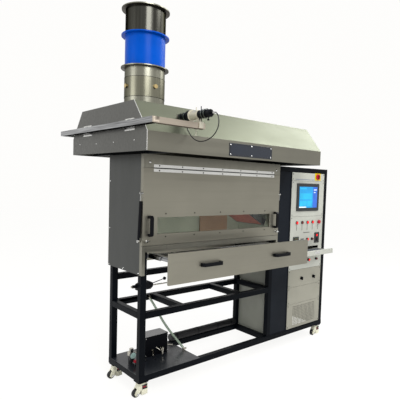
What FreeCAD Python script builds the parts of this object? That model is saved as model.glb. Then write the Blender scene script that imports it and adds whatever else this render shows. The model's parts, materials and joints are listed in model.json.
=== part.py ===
import FreeCAD, Part
import math
import os

import Sketcher
from FreeCAD import Placement, Rotation, Vector

# Flooring radiant panel tester: a test chamber on a wheeled tube frame, with a top-hinged
# window door, a specimen drawer, an exhaust hood and duct with a smoke meter, and a control
# cabinet. Millimetres, +Z up. The origin is on the floor, under the centre of the whole part.
# Places along X are counted from the frame's left side, along Y from its front side.

SIZES = {
    # frame of square tube
    "frame_left": -1025,
    "frame_length": 2280,
    "frame_depth": 500,
    "tube": 50,
    "tube_edge": 4,
    "base_bottom": 120,
    "bay_length": 1445,
    "shelf_top": 656,
    "shelf_bar_left": 375,
    "shelf_bar_right": 1025,
    "back_rail_top": 876,
    "cabinet_top": 1836,
    "carrier": 40,
    "sheet_wall": 2,
    "running_gap": 0.3,
    "pin_gap": 0.05,
    # casters
    "caster_inset": 46,
    "caster_plate": 92,
    "caster_plate_wall": 6,
    "kingpin_radius": 8,
    "kingpin_length": 13,
    "wheel_radius": 31,
    "wheel_width": 28,
    "wheel_trail": 46,
    "axle_radius": 4,
    "housing_width": 46,
    "housing_cheek": 6,
    "housing_roof": 96,
    "housing_disc": 34,
    "foot_ahead": 18,
    "foot_radius": 20,
    "foot_clear": 9,
    "dial_radius": 24,
    # tray and sleeve on the base
    "tray_length": 580,
    "tray_wall": 2.5,
    "tray_lip": 18,
    "sleeve_radius": 34,
    "sleeve_start": 592,
    # chamber
    "chamber_overhang": 17,
    "chamber_reach": 18,
    "front_depth": 36,
    "panel_bottom": 949,
    "header_height": 99,
    "jamb_width": 25,
    "sill_top": 1168,
    "sill_height": 44,
    "liner_wall": 20,
    "liner_below_sill": 38,
    "liner_drop": 47,
    "vent_length": 700,
    # door
    "door_clear": 3,
    "hinge_height": 1747,
    "door_thick": 20,
    "door_gap": 1,
    "window_side": 127,
    "window_above": 83,
    "window_height": 125,
    "glass_wall": 5,
    "glass_lap": 12,
    "knuckle_radius": 4,
    "hinge_pin_radius": 2,
    "leaf_wall": 1.6,
    "leaf_height": 22,
    "leaf_side": 84,
    "knuckle_count": 13,
    "door_handle_side": 56,
    "door_handle_above": 70,
    "door_handle_height": 154,
    "door_handle_reach": 44,
    "handle_width": 26,
    "handle_grip": 13,
    "handle_foot": 20,
    "handle_corner": 14,
    "latch_side": 32,
    "latch_above": 36,
    "latch_radius": 12,
    "latch_reach": 22,
    "latch_stem_radius": 5,
    # gas struts
    "strut_low_drop": 542,
    "strut_low_front": 4,
    "strut_top_drop": 187,
    "strut_top_front": 28,
    "strut_radius": 9,
    "strut_rod_radius": 4,
    "strut_tube_length": 290,
    "strut_side": 14,
    "stud_radius": 4,
    "eye_radius": 10,
    # radiant panel and pilot burner
    "burner_from_end": 320,
    "burner_above": 132,
    "burner_length": 300,
    "burner_width": 380,
    "burner_depth": 60,
    "burner_tilt": 30,
    "ceramic_wall": 14,
    "ceramic_edge": 16,
    "pilot_from_end": 67,
    "pilot_above": 22,
    "pilot_radius": 5,
    "pilot_length": 250,
    # specimen drawer
    "drawer_overhang": 5,
    "drawer_clear": 1,
    "drawer_thick": 20,
    "drawer_pulled": 343,
    "drawer_handle_from_middle": 383,
    "drawer_handle_height": 1066,
    "drawer_handle_span": 190,
    "drawer_handle_reach": 38,
    "slide_bottom": 1071,
    "slide_height": 35,
    "slide_length": 440,
    "slide_wall": 4,
    "slide_step": 6,
    "carriage_bar": 30,
    "carriage_depth": 300,
    "holder_length": 1050,
    "holder_depth": 250,
    "holder_wall": 10,
    "holder_rim": 20,
    # hood and duct
    "hood_left": -178,
    "hood_length": 1851,
    "hood_depth": 1193,
    "skirt_height": 130,
    "hood_height": 345,
    "hood_inset": 178,
    "duct_from_left": 144,
    "duct_radius": 155,
    "flange_width": 29,
    "flange_wall": 8,
    "lower_duct_height": 333,
    "band_height": 239,
    "upper_duct_height": 208,
    "port_above": 179,
    "port_radius": 16,
    "port_reach": 14,
    "light_port_radius": 26,
    # rail of the smoke meter
    "rail_left": -230,
    "rail_right": 181,
    "rail_front": -489,
    "rail_width": 50,
    "rail_above": 163,
    "rail_height": 38,
    "rail_wall": 3,
    "bracket_wall": 2,
    "bracket_lap": 22,
    "back_bracket_place": 556,
    "back_bracket_length": 160,
    "front_bracket_place": -117,
    "front_bracket_length": 140,
    # light source and receiver
    "optic_above": 258,
    "optic_tail": -618,
    "gland_drop": 39,
    "optic_saddle": 36,
    "optic_leg_radius": 4,
    # lever valve
    "valve_left": 6,
    "valve_length": 130,
    "valve_height": 60,
    "valve_depth": 46,
    "valve_low": 820,
    "lever_pivot_from_left": 118,
    "lever_length": 118,
    "lever_rise": 26,
    "lever_radius": 4,
    "lever_ball": 13,
    "supply_pipe_radius": 5,
    # pump box, regulator and valve on the tray
    "pump_left": 215,
    "pump_front": 280,
    "pump_length": 225,
    "pump_depth": 135,
    "pump_height": 168,
    "regulator_left": 78,
    "regulator_front": 262,
    "bowl_radius": 27,
    "bowl_height": 62,
    "gauge_radius": 24,
    "shutoff_front": 196,
    "shutoff_knob_radius": 11,
    # cords
    "hose_diameter": 20,
    "lamp_cable_diameter": 7,
    # cabinet
    "column_inset": 8,
    "panel_left": 1690,
    "panel_right": 2226,
    "panel_low": 176,
    "panel_high": 1785,
    "panel_wall": 3,
    "plate_joint": 2,
    "grille_plate_top": 426,
    "name_plate_top": 603,
    "selector_plate_top": 783,
    "lamp_plate_bottom": 1014,
    "button_plate_top": 940,
    "screen_plate_bottom": 1336,
    "title_plate_bottom": 1702,
    "side_strip": 60,
    # controls on the cabinet
    "screen_left": 1768,
    "screen_low": 1391,
    "screen_length": 364,
    "screen_height": 286,
    "screen_depth": 10,
    "screen_border": 34,
    "button_radius": 12,
    "button_collar": 15,
    "button_reach": 12,
    "button_travel": 4,
    "collar_wall": 3,
    "stem_behind": 14,
    "stop_radius": 19,
    "knob_radius": 17,
    "knob_reach": 24,
    "start_button_x": 1967,
    "start_button_z": 1094,
    "stop_button_x": 2048,
    "stop_button_z": 1092,
    "gas_button_x": 2003,
    "gas_button_z": 871,
    "air_button_x": 2134,
    "air_button_z": 871,
    "emergency_stop_x": 2146,
    "emergency_stop_z": 1271,
    "main_switch_knob_x": 2108,
    "main_switch_knob_z": 1750,
    "selector_left_x": 1897,
    "selector_left_z": 686,
    "selector_right_x": 2099,
    "selector_right_z": 682,
    "lamp_first": 1788,
    "lamp_pitch": 86.7,
    "lamp_rise": 257,
    "meter_left": 1740,
    "meter_low": 1086,
    "meter_length": 84,
    "meter_height": 40,
    "switch_plate_left": 2066,
    "switch_plate_low": 1718,
    "switch_plate_length": 86,
    "switch_plate_height": 64,
    "rocker_plate_left": 2106,
    "rocker_plate_low": 1050,
    "rocker_plate_length": 52,
    "rocker_plate_height": 102,
    "rocker_inset": 11,
    "rocker_rise": 14,
    "rocker_height": 36,
    "rocker_lamp_inset": 16,
    "rocker_lamp_rise": 66,
    "rocker_lamp_height": 22,
    "grille_left": 1768,
    "grille_low": 203,
    "grille_length": 392,
    "grille_height": 200,
    "grille_columns": 16,
    "grille_rows": 12,
    "slot_width": 9,
    "slot_slant": 8,
    # keyboard tray
    "desk_opening_low": 940,
    "desk_front_low": 945,
    "desk_front_high": 995,
    "desk_thick": 15,
    "desk_depth": 390,
    "desk_pulled": 151,
    "desk_left": 1756,
    "desk_right": 2160,
    "desk_wall": 4,
}

AXIS_TURN = {
    "x": Rotation(Vector(0, 1, 0), 90),
    "y": Rotation(Vector(1, 0, 0), -90),
    "z": Rotation(),
}
LONG_EDGES = {"x": (9, 10, 11, 12), "y": (2, 4, 6, 8), "z": (1, 3, 5, 7)}

doc = FreeCAD.newDocument("RadiantPanelTester")
sheet = doc.addObject("Spreadsheet::Sheet", "Sizes")
nodes = []


class Length:
    """A length worked out from the sheet: the formula to bind, and its value."""

    def __init__(self, formula, value):
        self.formula = formula
        self.value = value

    def __float__(self):
        return float(self.value)

    def __neg__(self):
        return joined(0, "-", self)

    def __add__(self, other):
        return joined(self, "+", other)

    def __radd__(self, other):
        return joined(other, "+", self)

    def __sub__(self, other):
        return joined(self, "-", other)

    def __rsub__(self, other):
        return joined(other, "-", self)

    def __mul__(self, other):
        return joined(self, "*", other)

    def __rmul__(self, other):
        return joined(other, "*", self)

    def __truediv__(self, other):
        return joined(self, "/", other)


def joined(first, sign, second):
    """Join two lengths or numbers by a sign into a new length."""
    a, b = float(first), float(second)
    values = {"+": a + b, "-": a - b, "*": a * b, "/": a / b if b else 0.0}
    texts = [x.formula if isinstance(x, Length) else repr(float(x)) for x in (first, second)]
    return Length(f"({texts[0]} {sign} {texts[1]})", values[sign])


def fill_sheet():
    """Write the driving sizes into the sheet, one alias each."""
    for row, (alias, value) in enumerate(SIZES.items(), 1):
        sheet.set(f"A{row}", alias)
        sheet.set(f"B{row}", str(value))
        sheet.setAlias(f"B{row}", alias)
    doc.recompute()


class Sheet:
    """Reads a driving size from the sheet by its alias."""

    def __getattr__(self, alias):
        return Length(f"Sizes.{alias}", float(sheet.get(alias)))


def bind(thing, name, length):
    """Bind a property to a length's formula, or set it to a plain number."""
    if isinstance(length, Length):
        thing.setExpression(name, length.formula)
    elif name.startswith("Placement.Base."):
        place = thing.Placement
        setattr(place.Base, name[-1], float(length))
        thing.Placement = place
    else:
        setattr(thing, name, float(length))


def place(thing, base):
    """Put a thing's own origin at a point."""
    for letter, length in zip("xyz", base):
        bind(thing, f"Placement.Base.{letter}", length)


def block(low, high):
    """A box from its low corner to its high corner."""
    solid = doc.addObject("Part::Box", "block")
    for name, start, end in zip(("Length", "Width", "Height"), low, high):
        bind(solid, name, end - start)
    place(solid, low)
    return solid


def bar(along, low, high, edge=None):
    """A box whose four edges along one axis are chamfered."""
    solid = block(low, high)
    beveled = doc.addObject("Part::Chamfer", "bar")
    beveled.Base = solid
    cut_back = float(dims.tube_edge if edge is None else edge)
    beveled.Edges = [(number, cut_back, cut_back) for number in LONG_EDGES[along]]
    return beveled


def rod(along, base, radius, length):
    """A cylinder from a base point, towards plus X, Y or Z."""
    solid = doc.addObject("Part::Cylinder", "rod")
    solid.Placement = Placement(Vector(), AXIS_TURN[along])
    bind(solid, "Radius", radius)
    bind(solid, "Height", length)
    place(solid, base)
    return solid


def cone(along, base, radius, end_radius, length):
    """A truncated cone from a base point, towards plus X, Y or Z."""
    solid = doc.addObject("Part::Cone", "cone")
    solid.Placement = Placement(Vector(), AXIS_TURN[along])
    bind(solid, "Radius1", radius)
    bind(solid, "Radius2", end_radius)
    bind(solid, "Height", length)
    place(solid, base)
    return solid


def ball(centre, radius):
    """A sphere."""
    solid = doc.addObject("Part::Sphere", "ball")
    bind(solid, "Radius", radius)
    place(solid, centre)
    return solid


def fuse(*parts):
    """One solid from several that touch or overlap."""
    result = doc.addObject("Part::MultiFuse", "fused")
    result.Shapes = list(parts)
    result.Refine = True
    return result


def group(*parts):
    """Several separate solids in one shape."""
    result = doc.addObject("Part::Compound", "group")
    result.Links = list(parts)
    return result


def cut(base, *tools):
    """A solid less one or more tools."""
    result = doc.addObject("Part::Cut", "cut")
    result.Base = base
    result.Tool = tools[0] if len(tools) == 1 else fuse(*tools)
    result.Refine = True
    return result


def ring(along, base, outer, inner, length):
    """A tube with open ends."""
    return cut(rod(along, base, outer, length), rod(along, base, inner, length))


def fixed(shape, name="shape"):
    """A document object for a shape that Part's own functions made."""
    feature = doc.addObject("Part::Feature", name)
    feature.Shape = shape
    return feature


def node(label, thing):
    """Name a finished sub-part and list it for writing."""
    thing.Label = label
    nodes.append(thing)
    return thing


def outline(body, role, points):
    """A closed, fully constrained sketch of straight lines on one of a body's planes."""
    sketch = body.newObject("Sketcher::SketchObject", "outline")
    plane = next(item for item in body.Origin.OriginFeatures if item.Role == role)
    sketch.AttachmentSupport = [(plane, "")]
    sketch.MapMode = "FlatFace"
    count = len(points)
    for index in range(count):
        start, end = points[index], points[(index + 1) % count]
        start_at = Vector(float(start[0]), float(start[1]), 0)
        end_at = Vector(float(end[0]), float(end[1]), 0)
        sketch.addGeometry(Part.LineSegment(start_at, end_at))
    for index in range(count):
        sketch.addConstraint(Sketcher.Constraint("Coincident", index, 2, (index + 1) % count, 1))
    for index, point in enumerate(points):
        for kind, length in zip(("DistanceX", "DistanceY"), point):
            rule = Sketcher.Constraint(kind, -1, 1, index, 1, float(length))
            number = sketch.addConstraint(rule)
            if isinstance(length, Length):
                sketch.setExpression(f"Constraints[{number}]", length.formula)
    return sketch


def padded(role, points, length, base=(0, 0, 0)):
    """A body: an outline padded by a length, moved to a base point."""
    body = doc.addObject("PartDesign::Body", "body")
    sketch = outline(body, role, points)
    pad = body.newObject("PartDesign::Pad", "pad")
    pad.Profile = sketch
    bind(pad, "Length", length)
    place(body, base)
    return body


def turned(profile, base, turn):
    """A body: an outline of (along, radius) points revolved about its own X axis."""
    body = doc.addObject("PartDesign::Body", "body")
    sketch = outline(body, "XY_Plane", profile)
    spin = body.newObject("PartDesign::Revolution", "revolution")
    spin.Profile = sketch
    spin.ReferenceAxis = (sketch, ["H_Axis"])
    spin.Angle = 360
    body.Placement = Placement(Vector(), turn)
    place(body, base)
    return body


def bent_path(points, radius_at):
    """Straight runs joined by tangent arcs; returns the wire, its length and the arcs' radii."""
    corners = [Vector(*(float(value) for value in point)) for point in points]
    edges, radii = [], []
    start = corners[0]
    for before, corner, after in zip(corners, corners[1:], corners[2:]):
        back, ahead = before - corner, after - corner
        half_turn = (math.pi - back.getAngle(ahead)) / 2
        radius = radius_at(min(back.Length, ahead.Length), half_turn)
        trim = radius * math.tan(half_turn)
        back.normalize()
        ahead.normalize()
        leave, join = corner + back * trim, corner + ahead * trim
        inward = back + ahead
        inward.normalize()
        middle = corner + inward * (radius / math.cos(half_turn) - radius)
        edges.append(Part.LineSegment(start, leave).toShape())
        edges.append(Part.Arc(leave, middle, join).toShape())
        radii.append(radius)
        start = join
    edges.append(Part.LineSegment(start, corners[-1]).toShape())
    path = Part.Wire(edges)
    return path, path.Length, radii


def swept(points, tube_radius, radius_at):
    """A round bar along a bent path, and the radii of its bends."""
    path, length, radii = bent_path(points, radius_at)
    radius = float(tube_radius)
    pieces = []
    for edge in path.Edges:
        start = edge.valueAt(edge.FirstParameter)
        ahead = edge.tangentAt(edge.FirstParameter)
        disc = Part.Face(Part.Wire(Part.makeCircle(radius, start, ahead)))
        if isinstance(edge.Curve, Part.Circle):
            turn = math.degrees(edge.LastParameter - edge.FirstParameter)
            pieces.append(disc.revolve(edge.Curve.Center, edge.Curve.Axis, turn))
        else:
            pieces.append(disc.extrude(ahead * edge.Length))
    solid = pieces[0].multiFuse(pieces[1:]).Solids[0]
    wanted = math.pi * radius ** 2 * length
    if abs(solid.Volume - wanted) > 0.01 * wanted:
        raise ValueError(f"a swept bar holds {solid.Volume:.0f} mm3, not {wanted:.0f}")
    return fixed(solid, "swept"), radii


def bent_bar(points, tube_radius, bend_radius):
    """A round bar with the same radius at every bend."""
    solid, _ = swept(points, tube_radius, lambda run, half_turn: float(bend_radius))
    return solid


def cord(label, points, diameter):
    """A free cord: each bend as large as its two runs allow."""
    share = 0.45
    solid, radii = swept(points, diameter / 2, lambda run, half: share * run / math.tan(half))
    smallest = ", ".join(f"{radius:.0f}" for radius in radii)
    print(f"{label}: bend radii {smallest} mm")
    return node(label, solid)


def across(offset):
    """A place along X, counted from the frame's left side."""
    return dims.frame_left + offset


def deep(offset):
    """A place along Y, counted from the frame's front side."""
    return offset - dims.frame_depth / 2


fill_sheet()
dims = Sheet()

left = across(0)
right = across(dims.frame_length)
front = deep(0)
back = deep(dims.frame_depth)
base_top = dims.base_bottom + dims.tube
bay_right = across(dims.bay_length)
bay_post = bay_right - dims.tube
chamber_left = across(-dims.chamber_overhang)
chamber_right = bay_right + dims.chamber_reach
chamber_front = deep(-dims.front_depth)
chamber_top = dims.hinge_height + dims.door_gap + dims.header_height
liner_bottom = dims.sill_top - dims.liner_below_sill
liner_top = chamber_top - dims.liner_drop
door_bottom = dims.sill_top + dims.door_clear
window_bottom = door_bottom + dims.window_above
window_top = window_bottom + dims.window_height
latch_height = door_bottom + dims.latch_above
hinge_front = chamber_front - dims.knuckle_radius
drawer_bottom = dims.panel_bottom + dims.drawer_clear
drawer_top = dims.sill_top - dims.drawer_clear
hood_top = chamber_top + dims.hood_height
hood_low_left = across(dims.hood_left)
hood_front = -dims.hood_depth / 2
hood_back = dims.hood_depth / 2
duct_x = across(dims.duct_from_left)
optic_height = chamber_top + dims.optic_above
rail_bottom = chamber_top + dims.rail_above
rail_top = rail_bottom + dims.rail_height
desk_low = dims.desk_front_low


# ---- frame ----------------------------------------------------------------------------

def corner_places():
    """The four casters: a name, and the swivel axis's place and inward directions."""
    inset = dims.caster_inset
    return (
        ("front_left", left + inset, front + inset),
        ("front_right", right - inset, front + inset),
        ("back_left", left + inset, back - inset),
        ("back_right", right - inset, back - inset),
    )


def base_frame():
    """The rectangle of tube that the casters carry, with its corner plates and kingpins."""
    low, high, tube = dims.base_bottom, base_top, dims.tube
    bars = [
        bar("x", (left, y, low), (right, y + tube, high)) for y in (front, back - tube)
    ]
    bars += [
        bar("y", (x, front + tube, low), (x + tube, back - tube, high))
        for x in (left, bay_post, right - tube)
    ]
    half, wall = dims.caster_plate / 2, dims.caster_plate_wall
    for _, x, y in corner_places():
        plate = bar("z", (x - half, y - half, low - wall), (x + half, y + half, low), 12)
        depth = dims.kingpin_length
        kingpin = rod("z", (x, y, low - wall - depth), dims.kingpin_radius, depth)
        bars.append(fuse(plate, kingpin))
    node("base_frame", group(*bars))


def upright_frame():
    """Posts, shelf bars, the rail behind the drawer and the bars under hood and cabinet top."""
    tube = dims.tube
    bars = []
    for x, top in ((left, chamber_top), (bay_post, chamber_top),
                   (right - tube, dims.cabinet_top)):
        for y in (front, back - tube):
            bars.append(bar("z", (x, y, base_top), (x + tube, y + tube, top)))
    shelf, rail = dims.shelf_top, dims.back_rail_top
    for y, top in ((front, shelf), (back - tube, shelf), (back - tube, rail)):
        bars.append(bar("x", (left + tube, y, top - tube), (bay_post, y + tube, top)))
    for x in (left, across(dims.shelf_bar_left), across(dims.shelf_bar_right), bay_post):
        bars.append(bar("y", (x, front + tube, shelf - tube), (x + tube, back - tube, shelf)))
    roof = dims.cabinet_top
    for y in (front, back - tube):
        bars.append(bar("x", (chamber_right, y, roof - tube), (right - tube, y + tube, roof)))
    bars.append(
        bar("y", (right - tube, front + tube, roof - tube), (right, back - tube, roof))
    )
    inner_front = hood_front + dims.sheet_wall
    inner_back = hood_back - dims.sheet_wall
    low = chamber_top
    for x in (left, bay_post):
        bars.append(
            bar("y", (x, inner_front, low), (x + dims.carrier, inner_back, low + dims.carrier))
        )
    node("upright_frame", group(*bars))


def base_tray():
    """The sheet on the base under the chamber, notched round the posts, with one lip."""
    tube, wall = dims.tube, dims.tray_wall
    end = across(dims.tray_length)
    sheet_plate = block((left, front, base_top), (end, back, base_top + wall))
    notches = [
        block((left, y, base_top), (left + tube, y + tube, base_top + wall))
        for y in (front, back - tube)
    ]
    lip = block(
        (end - wall, front + tube, base_top - dims.tray_lip), (end, back - tube, base_top)
    )
    node("base_tray", fuse(cut(sheet_plate, *notches), lip))


def cable_sleeve():
    """The black sleeve of wiring along the back of the base."""
    radius = dims.sleeve_radius
    start = across(dims.sleeve_start)
    y = back - dims.tube / 2
    body = rod("x", (start, y, base_top + radius), radius, bay_post - start)
    node("cable_sleeve", body)


# ---- casters --------------------------------------------------------------------------

def caster(name, x, y):
    """A levelling caster: a die-cast housing on a kingpin, its foot and dial, and a wheel."""
    half = dims.housing_width / 2
    roof, trail, radius = dims.housing_roof, dims.wheel_trail, dims.wheel_radius
    ahead, dial = dims.foot_ahead, dims.dial_radius
    nose = ahead + dims.foot_radius + 8
    web = 14
    side = (
        (nose - 8, roof), (nose, roof - 6), (nose, 48), (-web, 48),
        (8 - trail, 16), (-trail, 13), (-trail - 12, 17), (-trail - 16, radius),
        (-trail - 10, 50), (10 - trail, 82), (12 - trail, roof),
    )
    shell = padded("XZ_Plane", side, dims.housing_width, (x, y + half, 0))
    cheek = dims.housing_cheek
    slot = block((x - trail - radius - 9, y - half + cheek, 0), (x - web, y + half - cheek, 68))
    window = block((x - 2, y - half - 2, 56), (x + nose + 2, y + half + 2, 86))
    top_gap = dims.running_gap
    disc_top = dims.base_bottom - dims.caster_plate_wall - top_gap
    disc = rod("z", (x, y, roof), dims.housing_disc, disc_top - roof)
    bore_low = dims.base_bottom - dims.caster_plate_wall - dims.kingpin_length - 1
    bore = rod("z", (x, y, bore_low), dims.kingpin_radius + dims.pin_gap, disc_top - bore_low)
    axle = rod("y", (x - trail, y - half, radius), dims.axle_radius, dims.housing_width)
    housing = fuse(cut(fuse(cut(shell, slot, window), disc), bore), axle)
    dial_disc = fuse(
        rod("z", (x + ahead, y, 60), dial, 20),
        rod("z", (x + ahead, y, 56), dial / 2, 30),
    )
    foot = fuse(
        rod("z", (x + ahead, y, dims.foot_clear), dims.foot_radius, 12),
        rod("z", (x + ahead, y, dims.foot_clear), dims.foot_radius / 3, 48 - dims.foot_clear),
    )
    node(f"caster_housing_{name}", group(housing, dial_disc, foot))
    width = dims.wheel_width
    tread = rod("y", (x - trail, y - width / 2 + 3, radius), radius, width - 6)
    flank = rod("y", (x - trail, y - width / 2, radius), radius - 4, width)
    eye = rod("y", (x - trail, y - width / 2, radius), dims.axle_radius + dims.pin_gap, width)
    node(f"caster_wheel_{name}", cut(fuse(tread, flank), eye))


# ---- chamber --------------------------------------------------------------------------

def front_surround():
    """The stainless front of the chamber: two jambs, the sill and the panel over the door."""
    jamb, wall = dims.jamb_width, dims.sheet_wall
    rebate = chamber_front + dims.door_thick + dims.door_gap
    door_top = dims.hinge_height + dims.door_gap
    pieces = []
    for x in (chamber_left, chamber_right - jamb):
        for y, low, high in (
            (chamber_front, dims.panel_bottom, dims.sill_top),
            (rebate, dims.sill_top, door_top),
            (chamber_front, door_top, chamber_top),
        ):
            pieces.append(block((x, y, low), (x + jamb, front, high)))
    inner_left, inner_right = chamber_left + jamb, chamber_right - jamb
    for low, high in ((dims.sill_top - dims.sill_height, dims.sill_top), (door_top, chamber_top)):
        face = block((inner_left, chamber_front, low), (inner_right, front, high))
        hollow = block(
            (inner_left, chamber_front + wall, low + wall), (inner_right, front, high - wall)
        )
        pieces.append(cut(face, hollow))
    node("front_surround", group(*pieces, *strut_studs("jamb")))


def chamber_panels():
    """The painted side and back panels, folded in at their edges."""
    wall, low, high = dims.sheet_wall, dims.panel_bottom, chamber_top
    left_pan = cut(
        block((chamber_left, front, low), (left, back + wall, high)),
        block((chamber_left + wall, front + wall, low + wall), (left, back, high - wall)),
    )
    right_pan = cut(
        block((bay_right, front, low), (chamber_right, back + wall, high)),
        block((bay_right, front + wall, low + wall), (chamber_right - wall, back, high - wall)),
    )
    rear = block((left, back, low), (bay_right, back + wall, high))
    node("chamber_panels", group(left_pan, right_pan, rear))


def chamber_liner():
    """The insulating boards round the test space, open below and slotted above."""
    wall, tube = dims.liner_wall, dims.tube
    low, high = liner_bottom, liner_top
    x_low, x_high = left + tube, bay_post
    y_low, y_high = front + 2, back - tube
    rear = block((x_low, y_high - wall, low), (x_high, y_high, high))
    sides = [
        block((x_low, y_low, low), (x_low + wall, y_high - wall, high)),
        block((x_high - wall, y_low, low), (x_high, y_high - wall, high)),
    ]
    vent_right = x_low + wall + dims.vent_length
    in_low, in_high, y_end = x_low + wall, x_high - wall, y_high - wall
    roof = [
        block((x_from, y_from, high - wall), (x_to, y_to, high))
        for x_from, y_from, x_to, y_to in (
            (vent_right, y_low, in_high, y_end),
            (in_low, y_low, vent_right, y_low + tube),
            (in_low, y_end - tube, vent_right, y_end),
        )
    ]
    node("chamber_liner", group(rear, *sides, *roof))


def door():
    """The top-hinged door with its window, glass, handles and quarter-turn latches."""
    top = dims.hinge_height - dims.door_gap
    low, thick = door_bottom, dims.door_thick
    y_low, y_high = chamber_front, chamber_front + thick
    slab = block((chamber_left, y_low, low), (chamber_right, y_high, top))
    win_left = chamber_left + dims.window_side
    win_right = chamber_right - dims.window_side
    lap, wall = dims.glass_lap, dims.glass_wall
    window = block((win_left, y_low, window_bottom), (win_right, y_high, window_top))
    rebate = block(
        (win_left - lap, y_high - wall, window_bottom - lap),
        (win_right + lap, y_high, window_top + lap),
    )
    studs = []
    for x in (chamber_left + dims.latch_side, chamber_right - dims.latch_side):
        bore = dims.latch_stem_radius + dims.pin_gap
        studs.append(rod("y", (x, y_low, latch_height), bore, thick))
    node("door_panel", cut(slab, fuse(window, rebate), *studs))
    glass = block(
        (win_left - lap, y_high - wall, window_bottom - lap),
        (win_right + lap, y_high, window_top + lap),
    )
    node("door_glass", glass)
    handles = []
    handle_low = door_bottom + dims.door_handle_above
    half = dims.handle_width / 2
    bow = bow_outline(handle_low, dims.door_handle_height, dims.door_handle_reach)
    for x in (chamber_left + dims.door_handle_side, chamber_right - dims.door_handle_side):
        section = [(y_low - out, along) for out, along in bow]
        handles.append(padded("YZ_Plane", section, dims.handle_width, (x - half, 0, 0)))
    node("door_handles", group(*handles, *strut_studs("door")))
    for side, x in (
        ("left", chamber_left + dims.latch_side), ("right", chamber_right - dims.latch_side)
    ):
        latch(side, x, y_low, y_high)


def bow_outline(low, length, reach):
    """The side view of a bridge handle: (out, along) points round its feet and grip."""
    high = low + length
    foot, grip, corner = dims.handle_foot, dims.handle_grip, dims.handle_corner
    inner = reach - grip
    return (
        (0, low), (reach - corner, low), (reach, low + corner), (reach, high - corner),
        (reach - corner, high), (0, high), (0, high - foot), (inner, high - foot),
        (inner, low + foot), (0, low + foot),
    )


def latch(side, x, y_low, y_high):
    """A quarter-turn latch: a knob before the door and its stem through the door."""
    z = latch_height
    knob_back = y_low - dims.running_gap
    reach = dims.latch_reach
    knob = fuse(
        cone("y", (x, knob_back - reach, z), dims.latch_radius * 0.8, dims.latch_radius, 6),
        rod("y", (x, knob_back - reach + 6, z), dims.latch_radius, reach - 12),
        rod("y", (x, knob_back - 6, z), dims.latch_radius * 0.7, 6),
    )
    grip_half = 3
    grip = block(
        (x - dims.latch_radius - 5, knob_back - reach - 4, z - grip_half),
        (x + dims.latch_radius + 5, knob_back - reach + 3, z + grip_half),
    )
    stem = rod("y", (x, knob_back, z), dims.latch_stem_radius, y_high - knob_back)
    node(f"latch_knob_{side}", fuse(knob, grip, stem))


def piano_hinge():
    """The door's hinge: two leaves with knuckles in turn on one pin."""
    x_low, x_high = chamber_left + dims.leaf_side, chamber_right - dims.leaf_side
    y, z = hinge_front, dims.hinge_height
    radius, wall, height = dims.knuckle_radius, dims.leaf_wall, dims.leaf_height
    leaf_y = chamber_front - wall
    count = int(float(dims.knuckle_count))
    pitch = (x_high - x_low) / count
    gap = dims.running_gap
    pin_radius = dims.hinge_pin_radius
    clear = radius + 1
    frame_leaf = [block((x_low, leaf_y, z + clear), (x_high, chamber_front, z + clear + height))]
    door_leaf = [block((x_low, leaf_y, z - clear - height), (x_high, chamber_front, z - clear))]
    holes = []
    for index in range(count):
        start = x_low + pitch * index + gap / 2
        knuckle = rod("x", (start, y, z), radius, pitch - gap)
        fixed_side = index % 2 == 0
        leaf = frame_leaf if fixed_side else door_leaf
        low_z = z if fixed_side else z - clear
        tab = block((start, leaf_y, low_z), (start + pitch - gap, chamber_front, low_z + clear))
        leaf += [knuckle, tab]
        if not fixed_side:
            holes.append(rod("x", (start, y, z), pin_radius + dims.pin_gap, pitch - gap))
    pin = rod("x", (x_low + gap, y, z), pin_radius, x_high - x_low - gap * 2)
    node("hinge_frame_leaf", fuse(*frame_leaf, pin))
    node("hinge_door_leaf", cut(fuse(*door_leaf), *holes))


# ---- gas struts -----------------------------------------------------------------------

def strut_line():
    """The struts' lower pivot, their direction up to the door's stud, and that distance."""
    low = Vector(0, float(deep(-dims.strut_low_front)), float(dims.hinge_height - dims.strut_low_drop))
    high_y = float(deep(-dims.strut_top_front))
    high = Vector(0, high_y, float(dims.hinge_height - dims.strut_top_drop))
    span = high - low
    return low, Vector(span).normalize(), span.Length


def strut_sides():
    """For each side: the chamber's face, the strut's axis and which way is outward."""
    side = dims.strut_side
    return ((chamber_left, chamber_left - side, -1), (chamber_right, chamber_right + side, 1))


def strut_studs(kind):
    """The studs on the jambs or on the door that the struts hang on."""
    low, along, span = strut_line()
    at = low if kind == "jamb" else low + along * span
    inner = float(dims.strut_side - dims.strut_radius - dims.running_gap)
    length = inner if kind == "door" else float(dims.strut_side + dims.eye_radius)
    studs = []
    for face, _, outward in strut_sides():
        start = float(face) if outward > 0 else float(face) - length
        studs.append(rod("x", (start, at.y, at.z), dims.stud_radius, length))
        boss_length = inner / 2
        boss = float(face) if outward > 0 else float(face) - boss_length
        studs.append(rod("x", (boss, at.y, at.z), dims.eye_radius - 1, boss_length))
    return [fuse(*studs[:2]), fuse(*studs[2:])]


def along_strut(x, start, length, radius):
    """The shape of a cylinder along the strut's line, from above the lower pivot."""
    low, along, _ = strut_line()
    base = low + along * float(start)
    base.x = float(x)
    return Part.makeCylinder(float(radius), float(length), base, along)


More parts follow.
